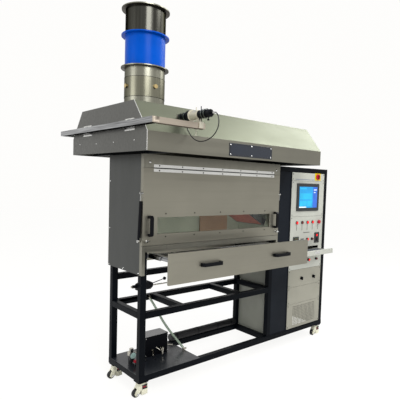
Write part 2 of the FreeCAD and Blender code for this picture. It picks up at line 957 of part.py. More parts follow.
def gas_struts():
    """Two gas struts beside the door: tubes on the jambs' studs, rods that run in them."""
    low, along, span = strut_line()
    tubes, rods = [], []
    eye, radius, rod_radius = dims.eye_radius, dims.strut_radius, dims.strut_rod_radius
    tube_length = dims.strut_tube_length
    top = low + along * span
    for _, x, _ in strut_sides():
        eye_low = x - radius
        barrel = along_strut(x, eye - 2, tube_length, radius - 0.5)
        bore = along_strut(x, eye + 6, tube_length, rod_radius + dims.pin_gap)
        hole = dims.stud_radius + dims.pin_gap
        socket = ring("x", (eye_low, low.y, low.z), eye, hole, radius * 2)
        tubes.append(fuse(fixed(barrel.cut(bore), "barrel"), socket))
        shank = along_strut(x, eye + 8, span - float(eye) - 12, rod_radius)
        end = rod("x", (eye_low, top.y, top.z), eye - 2, radius * 2)
        rods.append(fuse(fixed(shank, "shank"), end))
    node("strut_cylinders", group(*tubes))
    node("strut_rods", group(*rods))


# ---- burner ---------------------------------------------------------------------------

def radiant_panel():
    """The gas-fired ceramic panel, tilted towards the far end of the specimen."""
    length, width, depth = dims.burner_length, dims.burner_width, dims.burner_depth
    edge, wall = dims.ceramic_edge, dims.ceramic_wall
    rise = float(length) * math.sin(math.radians(float(dims.burner_tilt)))
    mid_y = (front + back - dims.tube) / 2
    x_low, z_high = bay_post - dims.burner_from_end, liner_bottom + dims.burner_above + rise
    corner = Vector(float(x_low), float(mid_y - width / 2), float(z_high))
    tilt = Placement(corner, Rotation(Vector(0, 1, 0), float(dims.burner_tilt)))
    housing = cut(
        block((0, 0, 0), (length, width, depth)),
        block((edge, edge, 0), (length - edge, width - edge, wall)),
    )
    feed = rod("z", (length / 2, width / 2, depth), 16, 40)
    panel = fuse(housing, feed)
    panel.Placement = tilt
    hangers = []
    for y in (mid_y - width / 2, mid_y + width / 2 - 6):
        x = x_low + 30
        hangers.append(
            block((x, y, z_high + depth * 0.8), (x + 30, y + 6, liner_top - dims.liner_wall))
        )
    node("radiant_housing", group(panel, *hangers))
    plate = block((edge, edge, 0), (length - edge, width - edge, wall))
    holder = group(plate)
    holder.Placement = tilt
    node("ceramic_plate", holder)


def pilot_burner():
    """The pilot burner: a tube across the zero end of the specimen, fed from the right."""
    x, z, radius = bay_post - dims.pilot_from_end, liner_bottom + dims.pilot_above, dims.pilot_radius
    mid_y = (front + back - dims.tube) / 2
    y_low = mid_y - dims.pilot_length / 2
    wall_x = bay_post - dims.liner_wall
    route = ((x, y_low, z), (x, y_low + dims.pilot_length, z), (wall_x, y_low + dims.pilot_length, z))
    node("pilot_burner", bent_bar(route, radius, radius * 3))


# ---- specimen drawer ------------------------------------------------------------------

def pulled(y):
    """A place on the drawer, which stands pulled out."""
    return y - dims.drawer_pulled


def drawer():
    """The drawer's front with its handles, and the carriage with the specimen holder."""
    wall, thick = dims.sheet_wall, dims.drawer_thick
    x_low = chamber_left - dims.drawer_overhang
    x_high = chamber_right + dims.drawer_overhang
    y_back = pulled(chamber_front - 1)
    y_front = y_back - thick
    pan = cut(
        block((x_low, y_front, drawer_bottom), (x_high, y_back, drawer_top)),
        block(
            (x_low + wall, y_front + wall, drawer_bottom + wall),
            (x_high - wall, y_back, drawer_top - wall),
        ),
    )
    node("drawer_front", pan)
    middle = (x_low + x_high) / 2
    span, width = dims.drawer_handle_span, dims.handle_width
    handle_low = dims.drawer_handle_height - width / 2
    handles = []
    for offset in (-dims.drawer_handle_from_middle, dims.drawer_handle_from_middle):
        bow = bow_outline(middle + offset - span / 2, span, dims.drawer_handle_reach)
        section = [(along, y_front - out) for out, along in bow]
        handles.append(padded("XY_Plane", section, width, (0, 0, handle_low)))
    node("drawer_handles", group(*handles))
    carriage(y_back)
    slides()


def slide_sides():
    """For each telescopic slide: the post's face that carries it, and the way inward."""
    return ((left + dims.tube, 1), (bay_post, -1))


def slide_member(face, inward, layer, y_low, length):
    """One member of a telescopic slide: a channel as high as its layer lets it be."""
    step, wall = dims.slide_step, dims.slide_wall
    gap = dims.running_gap
    start = face + inward * (step * layer + (gap * layer))
    end = start + inward * step
    x_low, x_high = (start, end) if inward > 0 else (end, start)
    shrink = wall * layer
    low = dims.slide_bottom + shrink
    high = dims.slide_bottom + dims.slide_height - shrink
    return block((x_low, y_low, low), (x_high, y_low + length, high))


def slides():
    """The slides' fixed members on the posts and the middle members half-way out."""
    length = dims.slide_length
    y_fixed = front + 5
    fixed_members, middle_members = [], []
    for face, inward in slide_sides():
        fixed_members.append(slide_member(face, inward, 0, y_fixed, length))
        y_middle = y_fixed - dims.drawer_pulled / 2
        middle_members.append(slide_member(face, inward, 1, y_middle, length))
    node("slide_rails_fixed", group(*fixed_members))
    node("slide_rails_middle", group(*middle_members))


def carriage(y_back):
    """The carriage between the slides: inner slide members, side and cross bars, the holder."""
    step, gap, bar_side = dims.slide_step, dims.running_gap, dims.carriage_bar
    reach = step * 3 + gap * 2
    y_pan = y_back - dims.drawer_thick + dims.sheet_wall
    low = dims.slide_bottom + dims.slide_wall * 2
    high = low + bar_side
    parts = []
    for face, inward in slide_sides():
        parts.append(slide_member(face, inward, 2, y_back, dims.slide_length - dims.tube))
        start = face + inward * reach
        end = start + inward * bar_side
        x_low, x_high = (start, end) if inward > 0 else (end, start)
        y_end = y_back + dims.slide_length - dims.tube
        parts.append(block((x_low, y_pan, low), (x_high, y_end, high)))
    x_low, x_high = left + dims.tube + reach + bar_side, bay_post - reach - bar_side
    for y in (y_back, y_back + dims.carriage_depth):
        parts.append(block((x_low, y, low), (x_high, y + bar_side, high)))
    middle = (x_low + x_high) / 2
    half = dims.holder_length / 2
    y_low = y_back + bar_side / 2 + (dims.carriage_depth - dims.holder_depth) / 2
    y_high = y_low + dims.holder_depth
    rim, wall = dims.holder_rim, dims.holder_wall
    x_from, x_to = middle - half, middle + half
    floor, lip = high + wall / 2, high + wall
    holder = [
        block((x_from, y_low, high), (x_to, y_high, floor)),
        block((x_from, y_low, floor), (x_to, y_low + rim, lip)),
        block((x_from, y_high - rim, floor), (x_to, y_high, lip)),
        block((x_from, y_low + rim, floor), (x_from + rim, y_high - rim, lip)),
        block((x_to - rim, y_low + rim, floor), (x_to, y_high - rim, lip)),
    ]
    tray_bars = [
        block((middle + offset, y_back + bar_side, low), (middle + offset + bar_side,
              y_back + dims.carriage_depth, high))
        for offset in (-half * 0.6, half * 0.6)
    ]
    node("specimen_carriage", group(*parts, *tray_bars, *holder))


# ---- hood and duct --------------------------------------------------------------------

def hood():
    """The exhaust hood: a folded skirt and two slopes, open below, with the duct's hole."""
    half = dims.hood_depth / 2
    inset, low = dims.hood_inset, chamber_top
    skirt, top = low + dims.skirt_height, hood_top
    section = (
        (-half, low), (half, low), (half, skirt), (half - inset, top),
        (inset - half, top), (-half, skirt),
    )
    body = doc.addObject("PartDesign::Body", "body")
    sketch = outline(body, "YZ_Plane", section)
    pad = body.newObject("PartDesign::Pad", "pad")
    pad.Profile = sketch
    bind(pad, "Length", dims.hood_length)
    place(body, (hood_low_left, 0, 0))
    doc.recompute()
    shell = body.newObject("PartDesign::Thickness", "shell")
    bottom = [
        number for number, face in enumerate(pad.Shape.Faces, 1)
        if face.normalAt(0, 0).z < -0.99
    ]
    shell.Base = (pad, [f"Face{number}" for number in bottom])
    bind(shell, "Value", dims.sheet_wall)
    shell.Mode = 0
    shell.Join = 0
    shell.Reversed = True
    body.Tip = shell
    wall = dims.sheet_wall
    hole = rod("z", (duct_x, 0, top - wall * 2), dims.duct_radius - wall, wall * 4)
    port = rod("y", (duct_x, hood_front, optic_height), dims.light_port_radius, hood_back * 2)
    node("hood", cut(body, hole, port))


def duct():
    """The round duct: a steel section, a painted one and a steel one, joined by flanges."""
    radius, wall, flange = dims.duct_radius, dims.sheet_wall, dims.flange_wall
    bore = radius - wall
    outer = radius + dims.flange_width
    low = hood_top
    band_low = low + dims.lower_duct_height
    band_high = band_low + dims.band_height
    duct_top = band_high + dims.upper_duct_height
    port_height = low + dims.port_above

    def tube(z_low, z_high):
        return ring("z", (duct_x, 0, z_low), radius, bore, z_high - z_low)

    def disc(z_low, reach, height):
        return rod("z", (duct_x, 0, z_low), reach, height)

    reach = radius + dims.port_reach
    lower = cut(
        fuse(
            disc(low, radius, band_low - low),
            disc(low, radius + 16, 3),
            disc(band_low - flange, outer, flange),
            rod("y", (duct_x, -reach, port_height), dims.port_radius, reach),
            rod("x", (duct_x - reach, 0, port_height), dims.port_radius, reach),
        ),
        disc(low - 1, bore, band_low - low + 2),
    )
    upper = cut(
        fuse(
            disc(band_high, radius, duct_top - band_high),
            disc(band_high, outer, flange),
            disc(duct_top - flange, outer, flange),
        ),
        disc(band_high - 1, bore, duct_top - band_high + 2),
    )
    node("duct_sections", group(lower, upper))
    node("duct_band", tube(band_low, band_high))


# ---- smoke meter ----------------------------------------------------------------------

def channel(low, high, wall):
    """A capped channel that is open below."""
    hollow = block(
        (low[0] + wall, low[1] + wall, low[2]), (high[0] - wall, high[1] - wall, high[2] - wall)
    )
    return cut(block(low, high), hollow)


def measuring_rail():
    """The channel round the hood's left end that carries the smoke meter, on two brackets."""
    x_low, x_high = across(dims.rail_left), across(dims.rail_right)
    y_low = deep(dims.rail_front)
    y_high = -y_low
    z_low, z_high = rail_bottom, rail_top
    width, wall = dims.rail_width, dims.rail_wall
    arms = [
        channel((x_low, y_low, z_low), (x_low + width, y_high, z_high), wall),
        channel((x_low + width, y_low, z_low), (x_high, y_low + width, z_high), wall),
        channel((x_low + width, y_high - width, z_low), (x_high, y_high, z_high), wall),
    ]
    node("measuring_rail", group(*arms, *rail_brackets(x_low + width, z_high)))


def rail_brackets(x, z_high):
    """The two brackets between the rail and the hood's end: slotted plates, ledges, bolts."""
    wall, lap = dims.bracket_wall, dims.bracket_lap
    ledge_width = dims.rail_width - 8
    brackets = []
    for place_y, length in (
        (dims.back_bracket_place, dims.back_bracket_length),
        (dims.front_bracket_place, dims.front_bracket_length),
    ):
        y_low = deep(place_y) - length / 2
        y_high = y_low + length
        corner = lap / 2
        profile = (
            (y_low, rail_bottom - lap), (y_high, rail_bottom - lap), (y_high, z_high + corner),
            (y_high - corner, z_high + lap), (y_low + corner, z_high + lap),
            (y_low, z_high + corner),
        )
        plate = padded("YZ_Plane", profile, wall, (x, 0, 0))
        slot = block(
            (x - 1, y_low + length * 0.4, z_high + lap * 0.4),
            (x + wall + 1, y_high - length * 0.3, z_high + lap * 0.75),
        )
        ledge = block((x - ledge_width, y_low, z_high), (x, y_high, z_high + wall * 1.5))
        bolts = []
        for y in (y_low + length * 0.14, y_high - length * 0.14):
            bolts.append(rod("x", (x - 6, y, z_high + lap * 0.6), 5, 6))
            bolts.append(rod("z", (x - ledge_width / 2, y, z_high + wall * 1.5), 5, 5))
        brackets.append(fuse(cut(plate, slot), ledge, *bolts))
    return brackets


def optic_profile(*steps):
    """Half of a turned section from (start, end, radius) steps along the axis."""
    points = [(steps[0][0], 0)]
    for start, end, radius in steps:
        points += [(start, radius), (end, radius)]
    points.append((steps[-1][1], 0))
    return points


def light_source():
    """The lamp unit of the smoke meter, on the rail's front arm, aimed through the hood."""
    steps = (
        (0, 28, 7), (28, 58, 25), (58, 100, 27), (100, 142, 26), (142, 152, 28),
        (152, 229, 31), (229, 258, 40), (258, 270, 31), (270, 280, 26), (280, 312, 31),
        (312, 322, 22), (322, 371, 25), (371, 382, 18), (382, 410, 20),
    )
    start = deep(dims.optic_tail)
    barrel = turned(optic_profile(*steps), (duct_x, start, optic_height), Rotation(90, 0, 0))
    saddle_y = deep(dims.rail_front)
    node("light_source", fuse(barrel, *optic_mount(saddle_y), *optic_knobs(start, 1)))


def light_receiver():
    """The photocell unit facing the lamp, on the rail's back arm."""
    steps = (
        (0, 30, 9), (30, 130, 34), (130, 140, 30), (140, 245, 31), (245, 257, 26),
        (257, 290, 31), (290, 302, 22), (302, 370, 25), (370, 410, 20),
    )
    start = -deep(dims.optic_tail)
    barrel = turned(optic_profile(*steps), (duct_x, start, optic_height), Rotation(-90, 0, 0))
    saddle_y = -deep(dims.rail_front) - dims.rail_width
    node("light_receiver", fuse(barrel, *optic_mount(saddle_y), *optic_knobs(start, -1)))


def optic_mount(y_low):
    """A clamp over the rail under a barrel, with its leg and two height screws."""
    half = dims.optic_saddle / 2
    z_rail = rail_top
    y_high = y_low + dims.rail_width
    x_low, x_high = duct_x - half, duct_x + half
    top = optic_height - 26
    wall = 6
    crown = block((x_low, y_low - wall, z_rail), (x_high, y_high + wall, z_rail + wall))
    cheeks = [
        block((x_low, y - wall, z_rail - 34), (x_high, y, z_rail)) for y in (y_low, y_high + wall)
    ]
    neck = block((x_low + 6, y_low + 8, z_rail + wall), (x_high - 6, y_high - 8, top))
    leg_radius = dims.optic_leg_radius
    leg = rod("z", (duct_x, y_high + wall / 2, z_rail - 82), leg_radius * 0.7, 50)
    screws = [
        rod("z", (duct_x, y, optic_height + 24), leg_radius * 0.75, 30)
        for y in (y_low + 2, y_high + 6)
    ]
    return [crown, *cheeks, neck, leg, *screws]


def optic_knobs(start, way):
    """Two small thumb knobs under a barrel, and the gland of its cable."""
    x, axis = duct_x, optic_height
    screws = []
    for offset in (52, 252):
        y = start + way * offset
        screws.append(rod("z", (x, y, axis - 38), 3, 18))
        screws.append(rod("z", (x, y, axis - 47), 7, 10))
    gland_y = start + way * 290
    screws.append(rod("z", (x, gland_y, axis - dims.gland_drop), 5, dims.gland_drop - 20))
    return screws


# ---- lever valve and tray fittings ----------------------------------------------------

def lever_valve():
    """The hand valve on the left post, its bracket, its supply pipe and its lever."""
    x_low, y_low, z_low = across(dims.valve_left), front + dims.tube, dims.valve_low
    x_high = x_low + dims.valve_length
    y_high, z_high = y_low + dims.valve_depth, z_low + dims.valve_height
    y_mid, z_mid = y_low + dims.valve_depth / 2, z_low + dims.valve_height / 2
    casing = padded(
        "XZ_Plane",
        (
            (x_low, z_low), (x_high - 20, z_low), (x_high, z_low + 18), (x_high, z_high - 14),
            (x_high - 26, z_high), (x_low + 40, z_high), (x_low, z_high - 18),
        ),
        dims.valve_depth, (0, y_high, 0),
    )
    stub = fuse(
        rod("x", (x_low - 34, y_mid, z_mid), 12, 34), rod("x", (x_low - 46, y_mid, z_mid), 8, 12)
    )
    pipe_end = bay_right - dims.column_inset - dims.sheet_wall
    radius = dims.supply_pipe_radius
    pipe = rod("x", (x_high, y_mid, z_mid - 8), radius, pipe_end - x_high)
    pivot_x = across(dims.lever_pivot_from_left)
    bore = rod("y", (pivot_x, y_low - 1, z_high - 18), dims.lever_radius + dims.pin_gap,
               dims.valve_depth + 2)
    brace = padded(
        "XZ_Plane",
        ((x_low - 2, z_low - 46), (x_low + 6, z_low - 46), (x_low + 60, z_low), (x_low + 46, z_low)),
        6, (0, y_low + 6, 0),
    )
    node("lever_valve", group(fuse(cut(casing, bore), stub, brace), pipe))
    lever_parts(pivot_x, y_low, z_high - 18)


def lever_parts(pivot_x, y_low, z):
    """The lever: a pivot pin through the casing, an arm in front of it and a ball grip."""
    radius = dims.lever_radius
    gap = dims.running_gap
    arm_y = y_low - gap - radius
    pin = rod("y", (pivot_x, arm_y, z), radius, dims.valve_depth + gap + radius)
    hub = rod("y", (pivot_x, y_low - gap - radius * 2, z), radius * 2.2, radius * 2)
    reach, rise = float(dims.lever_length), float(dims.lever_rise)
    end = Vector(float(pivot_x) + reach, float(arm_y), float(z) + rise)
    start = Vector(float(pivot_x), float(arm_y), float(z))
    way = end - start
    arm = fixed(Part.makeCylinder(0.8 * float(radius), way.Length, start, way), "arm")
    grip = ball((end.x, end.y, end.z), dims.lever_ball)
    node("valve_lever", fuse(pin, hub, arm, grip))


def tray_fittings():
    """The pump box with its pipes, the filter regulator with its gauge, and the shut-off."""
    floor = base_top + dims.tray_wall
    x_low, y_low = across(dims.pump_left), deep(dims.pump_front)
    x_high, y_high = x_low + dims.pump_length, y_low + dims.pump_depth
    z_high = floor + dims.pump_height
    casing = bar("z", (x_low, y_low, floor), (x_high, y_high, z_high), 6)
    lid = bar("z", (x_low - 3, y_low - 3, z_high), (x_high + 3, y_high + 3, z_high + 4), 6)
    node("pump_box", fuse(casing, lid))
    fittings(floor, x_low, y_low, x_high, z_high)


def fittings(floor, pump_x, pump_y, pump_right, pump_top):
    """Pipes, regulator, gauge, hose tails: the metal and plastic pieces between the hoses."""
    x, y = across(dims.regulator_left), deep(dims.regulator_front)
    bowl_top = floor + dims.bowl_height
    shelf = block((x - 22, y - 22, bowl_top), (x + 22, y + 22, bowl_top + 34))
    bowl = cone("z", (x, y, floor), dims.bowl_radius * 0.82, dims.bowl_radius, dims.bowl_height)
    cap = rod("z", (x, y, bowl_top + 34), 17, 26)
    gauge_z = bowl_top + 17
    gauge = rod("y", (x - 10, y - 48, gauge_z), dims.gauge_radius, 18)
    gauge_neck = rod("y", (x - 10, y - 30, gauge_z), 7, 10)
    pipe_radius = 7
    link = bent_bar(
        (
            (x + 22, y, bowl_top + 17), (x + 62, y, bowl_top + 17), (x + 84, y - 14, floor + 40),
            (pump_x - 24, y + 40, floor + 44), (pump_x, y + 40, floor + 44),
        ),
        pipe_radius, 12,
    )
    shut_y = deep(dims.shutoff_front)
    shut_z = floor + 16
    shut = fuse(
        rod("y", (x, shut_y - 16, shut_z), 11, 40),
        rod("z", (x, shut_y, floor), 8, 16),
        rod("z", (x, shut_y, shut_z), 5, 24),
        rod("y", (x, shut_y + 24, shut_z), 6, y - 10 - (shut_y + 24)),
    )
    elbow = bent_bar(
        (
            (pump_right - 70, pump_y, floor + 62), (pump_right - 70, pump_y - 34, floor + 62),
            (pump_right - 78, pump_y - 40, floor + 10),
        ),
        6, 12,
    )
    tail = rod("x", (pump_right, pump_y + 60, pump_top - 38), 6, 36)
    regulator = fuse(shelf, bowl, cap, gauge, gauge_neck, link)
    node("gas_fittings", group(regulator, shut, elbow, tail, *hose_tails(floor)))
    knob_low = shut_z + 12
    radius = dims.shutoff_knob_radius
    knob = cut(
        fuse(
            rod("z", (x, shut_y, knob_low), radius, 18),
            block((x - radius - 3, shut_y - 4, knob_low + 6), (x + radius + 3, shut_y + 4,
                  knob_low + 18)),
        ),
        rod("z", (x, shut_y, knob_low), 5 + dims.pin_gap, 12 + dims.running_gap),
    )
    node("shutoff_knob", knob)


def hose_tails(floor):
    """The fittings that the supply hose ends on: one on the shelf bar, one on the tray."""
    tails = []
    radius = 8
    for end, neighbour in (HOSE_ROUTE[:2], HOSE_ROUTE[:-3:-1]):
        away = Vector(*end) - Vector(*neighbour)
        spigot = Part.makeCylinder(radius, 16, Vector(*end), away)
        tails.append(fixed(spigot, "spigot"))
    x, _, z = HOSE_ROUTE[0]
    bar_face = back - dims.tube
    clip = block((x - 14, bar_face - 10, z + 6), (x + 10, bar_face, z + 30))
    x, y, _ = HOSE_ROUTE[-1]
    seat = rod("z", (x + 6, y - 6, floor), 12, 15)
    body = rod("x", (x - 4, y - 6, floor + 11), 8, 34)
    return [fuse(tails[0], clip), fuse(tails[1], seat, body)]


# ---- cords ----------------------------------------------------------------------------

HOSE_ROUTE = (
    (-676, 186, 621), (-630, 163, 535), (-602, 135, 460), (-570, 95, 385), (-529, 50, 310),
    (-484, 5, 236), (-460, -20, 196),
)
LAMP_CABLE_ROUTE = (
    (-881, -868, 2105), (-881, -903, 2105), (-881, -925, 2058), (-881, -921, 2008),
    (-881, -889, 1967), (-881, -843, 1941), (-881, -791, 1927), (-881, -738, 1924),
    (-881, -688, 1935), (-881, -643, 1958), (-881, -606, 1992), (-881, -578, 2030),
    (-881, -578, 2066),
)


def cords():
    """The supply hose down to the tray and the lamp's cable."""
    cord("supply_hose", HOSE_ROUTE, dims.hose_diameter)
    cord("lamp_cable", LAMP_CABLE_ROUTE, dims.lamp_cable_diameter)


# ---- cabinet --------------------------------------------------------------------------

def cabinet_panels():
    """The dark sheets that close the cabinet, its blank front column and its mounting rails."""
    wall, tube, inset = dims.sheet_wall, dims.tube, dims.column_inset
    low, high = base_top, dims.cabinet_top - tube
    panel_left, panel_right = across(dims.panel_left), across(dims.panel_right)
    waist = dims.panel_bottom
    y_low, y_high = front + tube, back - tube
    top = block((chamber_right, y_low, dims.cabinet_top - wall),
                (right - tube, y_high, dims.cabinet_top))
    side = block((right - 10, y_low, low), (right - 10 + wall, y_high, high))
    y_rear = back - 10
    rear = fuse(
        block((bay_right, y_rear, low), (right - tube, y_rear + wall, waist)),
        block((chamber_right, y_rear, waist), (right - tube, y_rear + wall, high)),
    )
    x_cover = bay_right - inset - wall
    shelf = dims.shelf_top
    covers = [
        block((x_cover, y_low, low), (x_cover + wall, y_high, shelf - tube)),
        block((x_cover, y_low, shelf), (x_cover + wall, y_high, waist)),
    ]
    column = fuse(
        block((chamber_right, front + inset, low), (panel_left + 12, front + inset + wall, high)),
        block((bay_right, front + inset, low), (chamber_right, front + inset + wall, waist)),
    )
    y_plate = front + dims.panel_wall
    rails = [
        block((panel_left - 8, y_plate, low), (panel_left + 12, front + inset, high)),
        block((panel_right - 12, y_plate, low), (right - tube, front + inset, high)),
    ]
    ledge_top = desk_low + 10 - dims.running_gap
    ledges = [
        block((x_low, y_plate, ledge_top - 8), (x_high, y_plate + dims.desk_depth, ledge_top))
        for x_low, x_high in (
            (panel_left + 12, across(dims.desk_left) + 16),
            (across(dims.desk_right) - 16, panel_right - 12),
        )
    ]
    node("cabinet_panels", group(top, side, rear, *covers, fuse(column, rails[0]), rails[1],
                                 *ledges))


CONTROLS = (
    "start_button", "stop_button", "gas_button", "air_button", "emergency_stop",
    "main_switch_knob", "selector_left", "selector_right",
)


def control_place(label):
    """Where a control pierces the plates: its place along X and its height."""
    return across(getattr(dims, f"{label}_x")), getattr(dims, f"{label}_z")


def stem_bore():
    """The radius of the hole that a control's stem passes."""
    return dims.button_radius * 0.6 + dims.pin_gap


def rocker_opening():
    """The low and high corner, along X and Z, of the rocker's opening."""
    x = across(dims.rocker_plate_left) + dims.rocker_inset
    z = dims.rocker_plate_low + dims.rocker_rise
    length = dims.rocker_plate_length - dims.rocker_inset * 2
    return (x, z), (x + length, z + dims.rocker_height)


def control_plates():
    """The pale front plates of the cabinet, one over the other, with their cut-outs."""
    gap, wall = dims.plate_joint, dims.panel_wall
    x_low, x_high = across(dims.panel_left), across(dims.panel_right)
    borders = (
        (dims.panel_low, dims.grille_plate_top), (dims.grille_plate_top + gap, dims.name_plate_top),
        (dims.name_plate_top + gap, dims.selector_plate_top),
        (dims.selector_plate_top + gap, dims.button_plate_top),
        (dims.lamp_plate_bottom, dims.screen_plate_bottom - gap),
        (dims.screen_plate_bottom, dims.title_plate_bottom - gap),
        (dims.title_plate_bottom, dims.panel_high),
    )
    grille_left, grille_low = across(dims.grille_left), dims.grille_low
    rocker_low, rocker_high = rocker_opening()
    y_before, y_behind = front - 1, front + wall + 1
    openings = [
        (float(grille_low), block(
            (grille_left, y_before, grille_low),
            (grille_left + dims.grille_length, y_behind, grille_low + dims.grille_height),
        )),
        (float(rocker_low[1]), block(
            (rocker_low[0], y_before, rocker_low[1]),
            (rocker_high[0], y_behind, rocker_high[1]),
        )),
    ]
    for label in CONTROLS:
        x, z = control_place(label)
        openings.append((float(z), rod("y", (x, y_before, z), stem_bore(), wall + 2)))
    plates = []
    for low, high in borders:
        plate = block((x_low, front, low), (x_high, front + wall, high))
        holes = [tool for z, tool in openings if float(low) < z < float(high)]
        plates.append(cut(plate, *holes) if holes else plate)
    strips = [
        block((x_low, front, dims.button_plate_top), (across(dims.desk_left) - 4,
              front + wall, dims.lamp_plate_bottom)),
        block((across(dims.desk_right) + 4, front, dims.button_plate_top),
              (x_high, front + wall, dims.lamp_plate_bottom)),
    ]
    node("control_plates", group(*plates, *strips))


def vent_grille():
    """The grille low in the cabinet: rows of slanted slots."""
    length, height = dims.grille_length, dims.grille_height
    columns, rows = int(float(dims.grille_columns)), int(float(dims.grille_rows))
    pitch_x, pitch_z = length / (columns + 1), height / rows
    body = doc.addObject("PartDesign::Body", "body")
    pad = body.newObject("PartDesign::Pad", "pad")
    pad.Profile = outline(body, "XZ_Plane", ((0, 0), (length, 0), (length, height), (0, height)))
    bind(pad, "Length", dims.panel_wall - 1)
    start, base, rise = pitch_x / 2, pitch_z * 0.14, pitch_z * 0.72
    width, slant = dims.slot_width, dims.slot_slant
    slot = outline(
        body, "XZ_Plane",
        ((start, base), (start + width, base), (start + width + slant, base + rise),
         (start + slant, base + rise)),
    )
    pocket = body.newObject("PartDesign::Pocket", "pocket")
    pocket.Profile = slot
    pocket.Type = 1
    pocket.Midplane = True
    body.Tip = pocket
    doc.recompute()
    grid = body.newObject("PartDesign::MultiTransform", "grid")
    grid.Originals = [pocket]
    runs = (("H_Axis", columns, pitch_x), ("V_Axis", rows, pitch_z))
    patterns = []
    for axis, count, pitch in runs:
        pattern = body.newObject("PartDesign::LinearPattern", "run")
        pattern.Direction = (slot, [axis])
        pattern.Occurrences = count
        bind(pattern, "Length", pitch * (count - 1))
        patterns.append(pattern)
    grid.Transformations = patterns
    body.Tip = grid
    doc.recompute()
    one_slot = pad.Shape.Volume - pocket.Shape.Volume
    all_slots = pad.Shape.Volume - grid.Shape.Volume
    if abs(all_slots - one_slot * columns * rows) > 1:
        raise ValueError("the grille misses some of its slots")
    place(body, (across(dims.grille_left), front + dims.panel_wall, dims.grille_low))
    node("vent_grille", body)


def push_button(label, cap_radius, reach):
    """A push button: its cap before the plate and its stem through it."""
    x, z = control_place(label)
    travel, collar = dims.button_travel, dims.collar_wall
    cap = rod("y", (x, front - collar - travel - reach, z), cap_radius, reach)
    stem = rod("y", (x, front - collar - travel, z), stem_bore() - dims.pin_gap,
               travel + collar + dims.panel_wall + dims.stem_behind)
    node(label, fuse(cap, stem))


def controls():
    """Everything that is switched or read on the cabinet's front."""
    screen()
    node("panel_fittings", group(*signal_lamps(), *collars(), *panel_plates()))
    for label in CONTROLS[:4]:
        push_button(label, dims.button_radius, dims.button_reach)
    push_button("emergency_stop", dims.stop_radius, dims.button_reach + 4)
    rotary("main_switch_knob", dims.knob_radius + 3, front - dims.collar_wall)
    for label in ("selector_left", "selector_right"):
        rotary(label, dims.knob_radius, front)
    rocker_switch()


def signal_lamps():
    """Four signal lamps in a row: a rim and a lens each."""
    lamps = []
    for index in range(4):
        x = across(dims.lamp_first) + dims.lamp_pitch * index
        z = dims.lamp_plate_bottom + dims.lamp_rise
        rim = rod("y", (x, front - 4, z), dims.button_collar - 2, 4)
        lens = rod("y", (x, front - 12, z), dims.button_radius - 2, 8)
        lamps.append(fuse(rim, lens))
    return lamps


def collars():
    """The rings that the five push buttons stand in."""
    wall = dims.collar_wall
    rings = []
    for label in CONTROLS[:5]:
        x, z = control_place(label)
        rings.append(ring("y", (x, front - wall, z), dims.button_collar, stem_bore(), wall))
    return rings


def panel_plates():
    """The meter, the main switch's plate, and the rocker's plate with its lamp."""
    wall = dims.collar_wall
    x, z = across(dims.meter_left), dims.meter_low
    meter = block((x, front - 8, z), (x + dims.meter_length, front, z + dims.meter_height))
    x, z = across(dims.switch_plate_left), dims.switch_plate_low
    knob_x, knob_z = control_place("main_switch_knob")
    switch_plate = cut(
        block(
            (x, front - wall, z),
            (x + dims.switch_plate_length, front, z + dims.switch_plate_height),
        ),
        rod("y", (knob_x, front - wall - 1, knob_z), stem_bore(), wall + 2),
    )
    x, z = across(dims.rocker_plate_left), dims.rocker_plate_low
    x_high, z_high = x + dims.rocker_plate_length, z + dims.rocker_plate_height
    low, high = rocker_opening()
    rocker_plate = cut(
        bar("y", (x, front - wall, z), (x_high, front, z_high), 12),
        block((low[0], front - wall - 1, low[1]), (high[0], front + 1, high[1])),
    )
    inset, lamp_z = dims.rocker_lamp_inset, z + dims.rocker_lamp_rise
    rocker_lamp = block(
        (x + inset, front - 7, lamp_z),
        (x_high - inset, front - wall, lamp_z + dims.rocker_lamp_height),
    )
    return meter, switch_plate, rocker_plate, rocker_lamp


def rotary(label, radius, face):
    """A rotary knob: a disc, a grip bar across it and a stem into the cabinet."""
    x, z = control_place(label)
    gap, reach = dims.running_gap, dims.knob_reach
    disc_high = face - gap
    disc = cone("y", (x, disc_high - reach / 2, z), radius * 0.85, radius, reach / 2)
    grip = block(
        (x - 5, disc_high - reach, z - radius + 1),
        (x + 5, disc_high - reach / 2, z + radius - 1),
    )
    stem = rod("y", (x, disc_high, z), stem_bore() - dims.pin_gap,
               front + dims.panel_wall + dims.stem_behind - disc_high)
    node(label, fuse(disc, grip, stem))


def rocker_switch():
    """The rocker below its lamp: a shallow wedge that tips in its opening."""
    (x_low, z_low), (x_high, z_high) = rocker_opening()
    x_low, x_high = x_low + dims.running_gap, x_high - dims.running_gap
    z_low, z_high = z_low + 2, z_high - 2
    middle = (z_low + z_high) / 2
    section = (
        (front - 11, z_low), (front - 4, middle), (front - 8, z_high), (front + 4, z_high - 7),
        (front + 8, middle), (front + 4, z_low + 7),
    )
    node("rocker_switch", padded("YZ_Plane", section, x_high - x_low, (x_low, 0, 0)))


def screen():
    """The touch screen: a bezel and the display set back in it."""
    x_low, z_low = across(dims.screen_left), dims.screen_low
    x_high, z_high = x_low + dims.screen_length, z_low + dims.screen_height
    border, depth = dims.screen_border, dims.screen_depth
    y_low = front - depth
    hollow = block(
        (x_low + border, y_low, z_low + border), (x_high - border, front - 4, z_high - border)
    )
    bezel = cut(bar("y", (x_low, y_low, z_low), (x_high, front, z_high), 4), hollow)
    display = block(
        (x_low + border, y_low + 2, z_low + border), (x_high - border, front - 4, z_high - border)
    )
    node("touch_screen", group(bezel, display))


